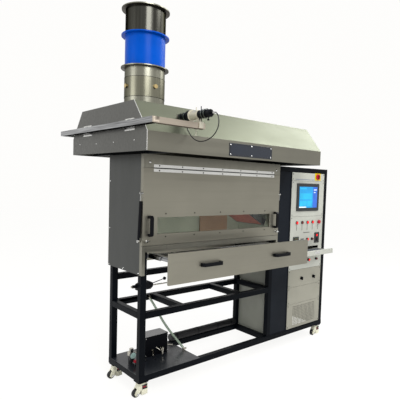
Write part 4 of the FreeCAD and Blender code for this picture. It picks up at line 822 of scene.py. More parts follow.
@dataclass
class Assembly:
    """What every sub-assembly shares: the body that its loose pieces ride on."""

    body: str = "stand"

    def carry(
        self, node: str, finish: Finish, rounding: float = 0.0, *zones: Zone
    ) -> None:
        """Dress a copy of a CAD node's mesh, and let it stand for the node.

        Args:
            node: The CAD node.
            finish: Its main finish.
            rounding: The width of its edges' rounding in metres, or 0 for none.
            *zones: Where faces take another finish; the last one that holds a face counts.
        """
        slots = list(dict.fromkeys((finish, *(zone.finish for zone in zones))))
        form = bmesh.new()
        form.from_mesh(frame["nodes"][node].data)
        bmesh.ops.remove_doubles(form, verts=form.verts, dist=1e-6)
        for face in form.faces:
            place, taken = face.calc_center_median(), finish
            for zone in zones:
                if zone.holds(place, face.normal):
                    taken = zone.finish
            face.material_index = slots.index(taken)
        piece = new_piece(f"{node}_form", form, *slots)
        if rounding:
            soften(piece, rounding)
        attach(piece, body_of(node))
        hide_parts(node)
        LOG.info("%s dressed", node)

    def screws(
        self, name: str, kind: Fastener, axis: Vector, start: Place, step: Place, count: int,
        finish: Finish, rise: Place,
    ) -> None:
        """Set two rows of screws, in millimetres from the frame's left, front and floor.

        Args:
            name: The new piece's name.
            kind: The fastener.
            axis: The way the heads stand out.
            start: The first one's place.
            step: From one to the next.
            count: How many in a row.
            finish: Their finish.
            rise: From one row to the other.
        """
        piece = Repeats.grid(
            name, kind.prototype(axis), finish, spot(*start), Vector(step) / 1000, count,
            Vector(rise) / 1000, 2,
        )
        mount(piece, self.body)

    def boxes(
        self, name: str, spans: Iterable[tuple[Place, Place]], finish: Finish,
        rounding: float = 0.0005,
    ) -> None:
        """Make one piece from several small slabs.

        Args:
            name: The new piece's name.
            spans: Each slab's low and high corner, in millimetres.
            finish: Their finish.
            rounding: The width of their edges' rounding in metres.
        """
        form = bmesh.new()
        for low, high in spans:
            box_form(form, spot(*low), spot(*high))
        mount(soften(new_piece(name, form, finish), rounding), self.body)

    def turnings(
        self, name: str, places: Iterable[Place], axis: Vector, profile: Sequence[Span],
        finish: Finish, steps: int = 28, hollow: bool = False,
    ) -> None:
        """Make one piece from several like turned solids.

        Args:
            name: The new piece's name.
            places: Each one's base, in millimetres.
            axis: Their axis.
            profile: Points of (distance along the axis, radius), in millimetres.
            finish: Their finish.
            steps: Corners round the axis.
            hollow: Whether they are rings, open in the middle.
        """
        form = bmesh.new()
        scaled = [(along / 1000, radius / 1000) for along, radius in profile]
        for place in places:
            turned_form(form, spot(*place), axis, scaled, steps, hollow)
        mount(new_piece(name, form, finish), self.body)


@dataclass
class Cord:
    """A flexible line: its route's points, its size and how it hangs."""

    name: str
    node: str
    finish: Finish
    route: tuple[Place, ...]
    diameter: float
    length: float
    stiffness: str
    lay: str

    def build(self) -> None:
        """Run one smooth line along the route."""
        curve = bpy.data.curves.new(self.name, "CURVE")
        curve.dimensions = "3D"
        curve.bevel_depth = self.diameter / 2
        curve.bevel_resolution = 6
        curve.resolution_u = 12
        curve.use_fill_caps = True
        line = curve.splines.new("NURBS")
        line.points.add(len(self.route) - 1)
        for point, place in zip(line.points, self.route):
            point.co = (*place, 1.0)
        line.order_u = 3
        line.use_endpoint_u = True
        piece = dress(in_scene(self.name, curve), self.finish)
        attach(piece, "stand")
        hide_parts(self.node)
        LOG.info("%s runs %.3f m", self.name, self.length)


HOSE_ROUTE = (
    (-0.676, 0.186, 0.621), (-0.630, 0.163, 0.535), (-0.602, 0.135, 0.460),
    (-0.570, 0.095, 0.385), (-0.529, 0.050, 0.310), (-0.484, 0.005, 0.236),
    (-0.460, -0.020, 0.196),
)
LAMP_CABLE_ROUTE = (
    (-0.881, -0.868, 2.105), (-0.881, -0.903, 2.105), (-0.881, -0.925, 2.058),
    (-0.881, -0.921, 2.008), (-0.881, -0.889, 1.967), (-0.881, -0.843, 1.941),
    (-0.881, -0.791, 1.927), (-0.881, -0.738, 1.924), (-0.881, -0.688, 1.935),
    (-0.881, -0.643, 1.958), (-0.881, -0.606, 1.992), (-0.881, -0.578, 2.030),
    (-0.881, -0.578, 2.066),
)


@dataclass
class Studio:
    """The floor, the light and the camera."""

    floor_size: float = 40.0
    floor_drop: float = 0.0005
    lens: float = 38.41
    shift: Span = (-0.0987, 0.0204)
    camera_place: Place = (-2.645535, -3.028593, 1.651165)
    yaw: float = 0.752
    pitch: float = -0.057
    roll: float = 0.033
    backdrop: Colour = (0.99, 0.985, 0.97)
    floor_glow: float = 1.075
    floor_share: float = 0.85
    room_tone: Colour = (0.95, 0.97, 1.0)
    room_strength: float = 0.55
    lamps: tuple[tuple, ...] = (
        ("key", (-2.0, -4.5, 4.6), (0.0, 0.0, 1.2), 2.2, 190.0),
        ("fill", (-5.0, 0.6, 2.6), (-0.5, 0.0, 1.2), 2.0, 50.0),
        ("top", (2.2, -2.6, 5.2), (0.3, -0.3, 1.8), 1.8, 90.0),
        ("back_right", (3.6, -0.6, 4.45), (0.45, -0.45, 2.08), 2.2, 75.0),
    )

    def camera(self) -> None:
        """Set the camera at its viewing angle."""
        data = bpy.data.cameras.new("view")
        data.sensor_width = 36.0
        data.lens = self.lens
        data.shift_x, data.shift_y = self.shift
        data.dof.use_dof = False
        flat, lift = math.cos(self.pitch), math.sin(self.pitch)
        ahead = Vector((math.sin(self.yaw) * flat, math.cos(self.yaw) * flat, lift))
        level = Vector((math.cos(self.yaw), -math.sin(self.yaw), 0.0))
        over = level.cross(ahead)
        side = level * math.cos(self.roll) + over * math.sin(self.roll)
        top = over * math.cos(self.roll) - level * math.sin(self.roll)
        turn = Matrix((side, top, -ahead)).transposed().to_4x4()
        camera = in_scene("view", data)
        camera.matrix_world = Matrix.Translation(self.camera_place) @ turn
        bpy.context.scene.camera = camera

    @staticmethod
    def seen_rays(tree: bpy.types.NodeTree) -> bpy.types.Node:
        """Pick the rays that see the backdrop straight, in metal or through glass.

        Args:
            tree: The floor's or the world's node tree.

        Returns:
            The node whose first output is 1 for those rays.
        """
        path = add_node(tree, "ShaderNodeLightPath")
        seen = add_node(tree, "ShaderNodeMath", operation="MAXIMUM")
        any_seen = add_node(tree, "ShaderNodeMath", operation="MAXIMUM")
        wire(
            tree, (path, "Is Camera Ray", seen, 0), (path, "Is Glossy Ray", seen, 1),
            (seen, 0, any_seen, 0), (path, "Is Transmission Ray", any_seen, 1),
        )
        return any_seen

    def floor(self) -> None:
        """Lay the pale floor, which keeps the object's shadow."""
        form = bmesh.new()
        bmesh.ops.create_grid(form, x_segments=8, y_segments=8, size=self.floor_size / 2)
        bmesh.ops.translate(form, verts=form.verts, vec=(0, 0, -self.floor_drop))
        material = bpy.data.materials.new("pale_floor")
        material.use_nodes = True
        tree = material.node_tree
        tone = (*self.backdrop, 1.0)
        shader, result = tree.nodes["Principled BSDF"], tree.nodes["Material Output"]
        fill(shader, {"Base Color": tone, "Roughness": 0.9, "Specular IOR Level": 0.1})
        glow = add_node(tree, "ShaderNodeEmission",
                        {"Color": tone, "Strength": self.floor_glow})
        share = add_node(tree, "ShaderNodeMath", {1: self.floor_share}, operation="MULTIPLY")
        mix = add_node(tree, "ShaderNodeMixShader")
        wire(
            tree, (self.seen_rays(tree), 0, share, 0), (share, 0, mix, "Fac"),
            (shader, "BSDF", mix, 1), (glow, "Emission", mix, 2),
            (mix, "Shader", result, "Surface"),
        )
        piece = in_scene("floor", mesh_of("floor", form))
        piece.data.materials.append(material)

    def world(self) -> None:
        """Light the room softly, and whiten what is seen straight, in metal or in glass."""
        world = bpy.data.worlds.new("room")
        bpy.context.scene.world = world
        world.use_nodes = True
        tree = world.node_tree
        tree.nodes.clear()
        soft, white = (
            add_node(tree, "ShaderNodeBackground", {"Color": (*tone, 1.0), "Strength": strength})
            for tone, strength in ((self.room_tone, self.room_strength), (self.backdrop, 1.0))
        )
        mix = add_node(tree, "ShaderNodeMixShader")
        result = add_node(tree, "ShaderNodeOutputWorld")
        wire(
            tree, (self.seen_rays(tree), 0, mix, "Fac"), (soft, "Background", mix, 1),
            (white, "Background", mix, 2), (mix, "Shader", result, "Surface"),
        )

    def lamp(self, name: str, place: Place, aim: Place, size: float, power: float) -> None:
        """Hang one soft lamp.

        Args:
            name: The lamp's name.
            place: Where it hangs, in metres.
            aim: What it points at.
            size: Its side in metres.
            power: Its power in watts.
        """
        data = bpy.data.lights.new(name, "AREA")
        data.shape = "SQUARE"
        data.size = size
        data.energy = power
        lamp = in_scene(name, data)
        lamp.location = place
        away = Vector(aim) - Vector(place)
        lamp.rotation_euler = away.to_track_quat("-Z", "Y").to_euler()

    def build(self) -> None:
        """Set up the room."""
        bpy.context.scene.view_settings.view_transform = "Standard"
        self.world()
        self.floor()
        for given in self.lamps:
            self.lamp(*given)
        self.camera()


@dataclass
class SteelFrame(Assembly):
    """The welded tube frame, its tray and the cable sleeve along its back rail."""

    sleeve_middle: Span = (475.0, 204.0)
    sleeve_radius: float = 34.0
    sleeve_ends: Span = (596.0, 1391.0)
    rib_pitch: float = 7.0
    rib_foot: Span = (2.2, -1.0)
    rib_crest: Span = (1.2, 1.2)
    ties: tuple[float, ...] = (660.0, 905.0, 1150.0, 1330.0)
    tie_size: Span = (3.5, 2.6)

    def build(self) -> None:
        """Dress the frame and its tray, and wind and strap the sleeve."""
        self.carry("base_frame", BLACK_COAT)
        self.carry("upright_frame", BLACK_COAT, 0.0015)
        self.carry("base_tray", TRAY_COAT, 0.001)
        self.carry("cable_sleeve", SLEEVE_PLASTIC)
        self.ribs()
        (y, z), r, (half, thick) = self.sleeve_middle, self.sleeve_radius, self.tie_size
        self.turnings(
            "sleeve_ties", [(x, y, z) for x in self.ties], RIGHTWARD,
            ((-half, r), (-half, r + thick), (half, r + thick), (half, r)), BLACK_PLASTIC,
        )

    def ribs(self) -> None:
        """Set the sleeve's ribs along it."""
        points = (self.rib_foot, self.rib_crest)
        right = [(half / 1000, (self.sleeve_radius + rise) / 1000) for half, rise in points]
        left = [(-half, radius) for half, radius in right]
        form = bmesh.new()
        turned_form(form, Vector(), RIGHTWARD, (*left, *reversed(right)), 20)
        rib = bpy.data.objects.new("rib", mesh_of("rib", form))
        low, high = self.sleeve_ends
        piece = Repeats.grid(
            "sleeve_ribs", rib, SLEEVE_PLASTIC, spot(low, *self.sleeve_middle),
            RIGHTWARD * self.rib_pitch / 1000, int((high - low) / self.rib_pitch),
        )
        mount(smooth(piece), self.body)


@dataclass
class Caster(Assembly):
    """One levelling caster: cast housing, thumb wheel, foot and roller."""

    corner: str = "front_left"
    wheel_x: float = 0.0
    middle_y: float = 46.0
    wheel_z: float = 31.0
    hub_radius: float = 19.0
    axle_reach: float = 34.0
    stem_offset: float = 64.0
    foot_radius: float = 22.0
    foot_top: float = 20.0
    stem_top: float = 50.0
    dial_radius: float = 25.0
    dial: Span = (54.0, 87.0)
    dial_marks: Span = (67.0, 75.0)
    shroud_half: Span = (26.0, 25.0)
    shroud_wall: float = 5.0
    shroud_heights: tuple[float, ...] = (12.0, 50.0, 55.0, 92.0)
    window_half: Span = (22.0, 1.0)
    window_heights: tuple[Span, ...] = ((56.0, 66.0), (78.0, 90.0))

    def build(self) -> None:
        """Dress the housing and the roller, and add the axle and the shroud."""
        stem = (self.wheel_x + self.stem_offset, self.middle_y, None)
        foot = {"axis": stem, "reach": below(self.foot_radius)}
        knob = {"axis": stem, "reach": below(self.dial_radius)}
        self.carry(
            f"caster_housing_{self.corner}", IVORY_CAST, 0.0015,
            Zone(PANEL_BLACK, z=self.dial, **knob),
            Zone(RED_PLASTIC, z=self.dial_marks, **knob),
            Zone(FOOT_RUBBER, z=below(self.foot_top), **foot),
            Zone(CHROME, z=(self.foot_top, self.stem_top), **foot),
        )
        self.carry(
            f"caster_wheel_{self.corner}", TYRE_PLASTIC, 0.0012,
            Zone(IVORY_CAST, axis=(self.wheel_x, None, self.wheel_z),
                 reach=below(self.hub_radius)),
        )
        self.turnings(
            f"axle_head_{self.corner}",
            [(self.wheel_x, self.middle_y - self.axle_reach, self.wheel_z)],
            FORWARD, ((-2, 9), (0.5, 9), (0.5, 7), (2.5, 7), (3.5, 5)), CHROME, 6,
        )
        self.shroud()

    def shroud(self) -> None:
        """Close the housing round the foot, with its dial's window in front."""
        x, y = self.wheel_x + self.stem_offset, self.middle_y
        wide, deep = self.shroud_half
        low, sill, lap, high = self.shroud_heights
        inner = wide - self.shroud_wall
        self.boxes(
            f"foot_shroud_{self.corner}",
            [((x - wide, y - deep, low), (x + wide, y + deep, lap)),
             ((x - wide, y - deep, sill), (x - inner, y + deep, high)),
             ((x + inner, y - deep, sill), (x + wide, y + deep, high))],
            IVORY_CAST, 0.003,
        )
        wide, half = self.window_half
        front = y - deep - half / 2
        self.boxes(
            f"dial_window_{self.corner}",
            [((x - wide, front - half, foot), (x + wide, front + half, top))
             for foot, top in self.window_heights],
            PANEL_BLACK, 0.0008,
        )


@dataclass
class Chamber(Assembly):
    """The test chamber: surround, outer panels, lining and the reflector board."""

    side_screws: tuple[Span, ...] = (
        (482, 1259), (486, 962), (251, 962), (14, 962), (482, 1640), (14, 1259),
    )
    side_face: float = -17.0
    front_screws: tuple[Span, ...] = ((24, 1206), (1422, 1206), (36, 1790), (1410, 1790))
    front_face: float = -36.0
    board: tuple[Place, Place] = ((861, 414, 1142), (1201, 428, 1700))
    angles: tuple[tuple[Place, Place], ...] = (
        ((52, 60, 1132), (560, 90, 1146)), ((52, 380, 1132), (900, 430, 1150)),
    )

    def build(self) -> None:
        """Dress the chamber and add its screws and its reflector board."""
        self.carry("front_surround", JAMB_STEEL, 0.0006)
        self.carry("chamber_panels", SIDE_STEEL, 0.001, Zone(DOOR_STEEL, facing=FORWARD))
        self.carry("chamber_liner", LINER_BOARD)
        places = [(self.side_face, y, z) for y, z in self.side_screws]
        self.turnings("side_panel_screws", places, LEFTWARD,
                      ((0, 5), (1.2, 4.6), (2.2, 3)), CHROME, 14)
        places = [(x, self.front_face, z) for x, z in self.front_screws]
        self.turnings("surround_screws", places, FORWARD,
                      ((0, 8), (1.5, 8), (3.5, 5)), CHROME, 18)
        self.boxes("reflector_board", [self.board], SCORCHED_BOARD, 0.002)
        self.boxes("liner_angles", self.angles, BRIGHT_STEEL)


@dataclass
class ExtractHood(Assembly):
    """The folded hood with its bare nameplate and end screws."""

    plate_low: Span = (529.0, 1861.0)
    plate_high: Span = (1001.0, 1959.0)
    front: float = -346.5
    rim: float = 3.5
    rim_inset: float = 6.0
    screw_inset: Span = (14.0, 13.0)
    fold: tuple[Place, ...] = (
        (-177, -345.5, 1849), (-177, -345.5, 1977), (-177, -168, 2191.5),
    )
    seam_size: Span = (0.0035, 0.0045)
    end_screws: tuple[Place, ...] = (
        (-178, 706, 1929), (-178, 404, 1922), (-178, 117, 1921), (-178, -180, 1921),
    )

    def build(self) -> None:
        """Dress the hood and fix its plate and screws."""
        # The left-facing end takes a darker copy of the hood steel: painted shade.
        end = Zone(HOOD_END_PAINTED_SHADE, facing=LEFTWARD, lean=0.5)
        # The up-facing slope takes a darker, greener copy of the hood steel: painted shade.
        slope = Zone(HOOD_SLOPE_PAINTED_SHADE, facing=UPWARD, lean=0.3)
        # The end counts over the slope, and still comes first among the slots.
        self.carry("hood", HOOD_STEEL, 0.0, end, slope, end)
        self.nameplate()
        self.fold_seam()
        self.turnings("hood_end_screws", self.end_screws, LEFTWARD,
                      ((0, 4.5), (1.2, 4.2), (2.2, 2.5)), CHROME, 14)

    def fold_seam(self) -> None:
        """Run the bright seam up the corner between the left end and the front."""
        form = bmesh.new()
        corners = [spot(*place) for place in self.fold]
        wide, thick = self.seam_size
        for low, high in zip(corners, corners[1:]):
            run = high - low
            turn = run.to_track_quat("Y", "X").to_matrix().to_4x4()
            span = Matrix.Diagonal((wide, run.length, thick, 1.0))
            place = Matrix.Translation((low + high) / 2) @ turn @ span
            bmesh.ops.create_cube(form, size=1.0, matrix=place)
        mount(soften(new_piece("fold_seam", form, BRIGHT_STEEL), 0.001), self.body)

    def nameplate(self) -> None:
        """Fix the bare plate with its six screws."""
        left, low = self.plate_low
        right, high = self.plate_high
        y, rim = self.front, self.rim
        self.boxes("nameplate", [((left, y - 2.5, low), (right, y + 0.5, high))], PLATE_BLUE, 0.001)
        start, end = left + self.rim_inset, right - self.rim_inset
        foot, top = low + self.rim_inset, high - self.rim_inset
        self.boxes(
            "nameplate_rim",
            [((x0, y - 3.2, z0), (x1, y - 2, z1)) for x0, x1, z0, z1 in (
                (start, end, foot, foot + rim), (start, end, top - rim, top),
                (start, start + rim, foot, top), (end - rim, end, foot, top),
            )],
            PANEL_BLACK, 0.0003,
        )
        aside, up = self.screw_inset
        self.screws(
            "nameplate_screws", Fastener.PAN_SCREW, FORWARD, (left + aside, y - 2.5, low + up),
            ((right - left - 2 * aside) / 2, 0, 0), 3, CHROME, (0, 0, high - low - 2 * up),
        )


@dataclass
class ExhaustDuct(Assembly):
    """The round duct with its lacquered middle length."""

    middle: Span = (144.0, 250.0)
    radius: float = 155.0
    sleeve: Span = (2290.0, 2440.0)
    sleeve_wall: Span = (-0.5, 1.4)
    seam_size: Span = (1.5, 2.2)
    nub_reach: float = 3.0
    band_flange: Span = (2763.0, 2773.0)
    rim: float = 175.0
    steps: int = 96

    def build(self) -> None:
        """Dress the duct, and add its sleeve and clamp seams."""
        line = (*self.middle, None)
        low, high = self.sleeve
        radius = self.radius
        self.carry(
            "duct_sections", DUCT_STEEL, 0.0,
            # The duct's upper length above the band is darkened: a painted dark reflection.
            Zone(DUCT_PAINTED_REFLECTION_AND_SEAM, z=above(self.band_flange[1]), axis=line, reach=below(self.rim)),
            Zone(BRASS, z=self.sleeve, axis=line, reach=above(radius + self.nub_reach)),
            Zone(FLANGE_SHADE, axis=line, reach=above(radius), facing=DOWNWARD),
            Zone(BLUE_LACQUER, z=self.band_flange, facing=DOWNWARD, lean=-0.7),
        )
        self.carry("duct_band", BLUE_LACQUER)
        inside, outside = (radius + wall for wall in self.sleeve_wall)
        self.turnings(
            "duct_sleeve", [(*self.middle, low)], UPWARD,
            ((0, inside), (0, outside), (high - low, outside), (high - low, inside)),
            SLEEVE_STEEL, self.steps, True,
        )
        half, crest = self.seam_size[0], radius + self.seam_size[1]
        self.turnings(
            "duct_seams", [(*self.middle, low), (*self.middle, high)], UPWARD,
            ((-half, radius), (-half, crest), (half, crest), (half, radius)), DUCT_PAINTED_REFLECTION_AND_SEAM,
            self.steps, True,
        )


@dataclass
class SmokeMeter(Assembly):
    """The light measuring system on its rail across the hood's end."""

    beam: Span = (144.0, 2105.0)
    beam_low: float = 2070.0
    source_bands: tuple[Span, ...] = (below(-476.0), (-389.0, -247.0))
    receiver_bands: tuple[Span, ...] = ((748.0, 861.0), (978.0, 1088.0))
    knurls: tuple[float, ...] = (-548.0, -520.0, -326.0, -274.0, 774.0, 826.0, 1020.0, 1048.0)
    nose: float = -617.0
    rail_heights: Span = (2009.0, 2049.0)
    front_run: float = -400.0
    knob_back: float = -560.0

    def build(self) -> None:
        """Dress the rail, the lamp housing and the receiver."""
        low, high = self.rail_heights
        self.carry(
            "measuring_rail", RAIL_STEEL, 0.0008, Zone(BRIGHT_STEEL, z=below(low)),
            Zone(BRIGHT_STEEL, z=above(high)),
            # The face of the rail's front run takes a warm tone: a painted reflection.
            Zone(RAIL_PAINTED_REFLECTION, y=below(self.front_run), z=self.rail_heights),
        )
        knob = Zone(BLACK_PLASTIC, y=below(self.knob_back), z=below(self.beam_low))
        for node, bands in (("light_source", self.source_bands),
                            ("light_receiver", self.receiver_bands)):
            zones = [Zone(BLACK_PLASTIC, y=band, z=above(self.beam_low)) for band in bands]
            self.carry(node, CREAM_ANODISED, 0.0006, knob, *zones)
        x, z = self.beam
        self.turnings("optic_knurls", [(x, y, z) for y in self.knurls], FORWARD,
                      ((-4, 30), (-4, 32.4), (4, 32.4), (4, 30)), KNURL_GREY, 40, True)
        self.turnings("source_nose", [(x, self.nose, z)], FORWARD,
                      ((0, 8), (12, 7), (14, 5), (26, 4.5)), CHROME, 24)


@dataclass
class ChamberDoor(Assembly):
    """The lift-up door with its window, handles, latches, hinge and gas struts."""

    body: str = "door"
    front: float = -36.0
    knuckle_depth: float = 2.5
    handle_top: float = 1500.0
    strut_axis: Place = (0.0, -0.067452, 0.997723)
    strut_feet: tuple[Place, ...] = ((-29, -4, 1205), (1475, -4, 1205))
    eye_top: float = 1222.0
    window_screw_x: tuple[float, ...] = (182, 454, 727, 1000, 1272)
    window_screw_z: Span = (1407, 1232)
    hinge_screw_x: tuple[float, ...] = (116, 324, 530, 736, 944, 1147, 1348)
    hinge_screw_z: Span = (1765, 1729)

    def build(self) -> None:
        """Dress the door and everything that carries it."""
        self.carry("door_panel", DOOR_STEEL)
        self.carry("door_glass", WINDOW_GLASS)
        self.carry("door_handles", BLACK_PLASTIC, 0.0015, Zone(CHROME, z=above(self.handle_top)))
        for side in ("left", "right"):
            self.carry(f"latch_knob_{side}", CHROME, 0.0008)
        knuckles = Zone(SIDE_STEEL, y=below(self.front - self.knuckle_depth))
        for node in ("hinge_frame_leaf", "hinge_door_leaf"):
            self.carry(node, BRIGHT_STEEL, 0.0, knuckles)
        self.carry("strut_cylinders", BLACK_PLASTIC, 0.0005, Zone(CHROME, z=below(self.eye_top)))
        self.carry("strut_rods", STRUT_STEEL)
        Assembly("strut_tubes").turnings(
            "strut_sleeves", self.strut_feet, Vector(self.strut_axis),
            ((26, 8.9), (26, 11.2), (296, 11.2), (296, 8.9)), BLACK_PLASTIC, hollow=True,
        )
        self.window_screws()
        self.hinge_screws()

    def window_screws(self) -> None:
        """Screw the window's frame to the door."""
        first, second = self.window_screw_x[:2]
        top, low = self.window_screw_z
        self.screws(
            "window_screws", Fastener.DOME_SCREW, FORWARD, (first, self.front, low),
            (second - first, 0, 0), len(self.window_screw_x), SCREW_DARK, (0, 0, top - low),
        )

    def hinge_screws(self) -> None:
        """Screw both leaves of the hinge down, each to its own side."""
        profile = ((0, 5.5), (1.2, 5.0), (2.0, 3.0))
        frame_z, door_z = self.hinge_screw_z
        for side, body, z in (("door", self.body, door_z), ("frame", "stand", frame_z)):
            places = [(x, self.front - 2, z) for x in self.hinge_screw_x]
            Assembly(body).turnings(f"hinge_screws_{side}", places, FORWARD, profile,
                                    SCREW_DARK, 12)


@dataclass
class Burner(Assembly):
    """The tilted radiant panel and its pilot burner."""

    def build(self) -> None:
        """Dress the housing, the fired plate and the pilot."""
        self.carry("radiant_housing", SIDE_STEEL, 0.001)
        self.carry("ceramic_plate", CERAMIC)
        self.carry("pilot_burner", BRIGHT_STEEL)


@dataclass
class SpecimenDrawer(Assembly):
    """The drawer with its carriage, handles and slides."""

    body: str = "drawer"

    def build(self) -> None:
        """Dress the drawer and its running gear."""
        self.carry("drawer_front", DOOR_STEEL, 0.001)
        self.carry("drawer_handles", BLACK_PLASTIC, 0.0015)
        self.carry("specimen_carriage", RAIL_STEEL, 0.0008)
        self.carry("slide_rails_fixed", RAIL_STEEL, 0.0006)
        self.carry("slide_rails_middle", RAIL_STEEL, 0.0006)


@dataclass
class ShelfValve(Assembly):
    """The lever valve under the chamber."""

    body_ends: Span = (-30.0, 140.0)

    def build(self) -> None:
        """Dress the valve, its bright pipe and its lever."""
        left, right = self.body_ends
        self.carry("lever_valve", BLACK_PLASTIC, 0.0006, Zone(NICKEL, x=below(left)),
                   Zone(NICKEL, x=above(right)))
        self.carry("valve_lever", BLACK_PLASTIC, 0.0008)


@dataclass
class GasTrain(Assembly):
    """The pump and the fittings on the base tray."""

    zones: tuple[Zone, ...] = (
        Zone(BOWL_PLASTIC, x=below(100), y=below(252)),  # the shut-off valve
        Zone(GAUGE_FACE, y=below(215), z=above(225)),  # the regulator's gauge
        Zone(BOWL_PLASTIC, x=below(110), y=above(253), z=below(236)),  # its bowl
    )
    front_screw: Place = (222.0, 277.0, 186.0)
    side_screw: Place = (212.0, 290.0, 186.0)
    screw_steps: Place = (211.0, 115.0, 146.0)
    spouts: tuple[tuple[Place, Place, float], ...] = (
        ((282, 277, 226), (-0.35, -1.0, -0.55), 0.062),
        ((330, 277, 234), (0.30, -1.0, -0.35), 0.040),
        ((372, 277, 214), (0.05, -0.8, -1.0), 0.034),
        ((443, 312, 226), (1.0, -0.35, -0.2), 0.060),
    )

    def build(self) -> None:
        """Dress the pump, its fittings and the shut-off knob, and add the pump's small parts."""
        # The pump's up-facing top takes a lighter grey: painted sheen.
        self.carry("pump_box", PUMP_COAT, 0.002, Zone(PUMP_PAINTED_SHEEN, facing=UPWARD))
        self.carry("gas_fittings", NICKEL, 0.0003, *self.zones)
        self.carry("shutoff_knob", RED_PLASTIC, 0.0006)
        self.set_spouts()
        across, back, up = self.screw_steps
        self.screws("pump_screws", Fastener.PAN_SCREW, FORWARD, self.front_screw,
                    (across, 0, 0), 2, STRUT_STEEL, (0, 0, up))
        self.screws("pump_screws_side", Fastener.PAN_SCREW, LEFTWARD, self.side_screw,
                    (0, back, 0), 2, STRUT_STEEL, (0, 0, up))

    def set_spouts(self) -> None:
        """Set the hose spouts on the pump's front and right side."""
        form = bmesh.new()
        for place, axis, length in self.spouts:
            neck = length - 0.006
            profile = ((-0.004, 0.009), (0.006, 0.009), (0.006, 0.0055), (neck, 0.0055),
                       (neck, 0.007), (length, 0.006))
            turned_form(form, spot(*place), Vector(axis), profile, 20)
        mount(new_piece("pump_spouts", form, NICKEL), self.body)


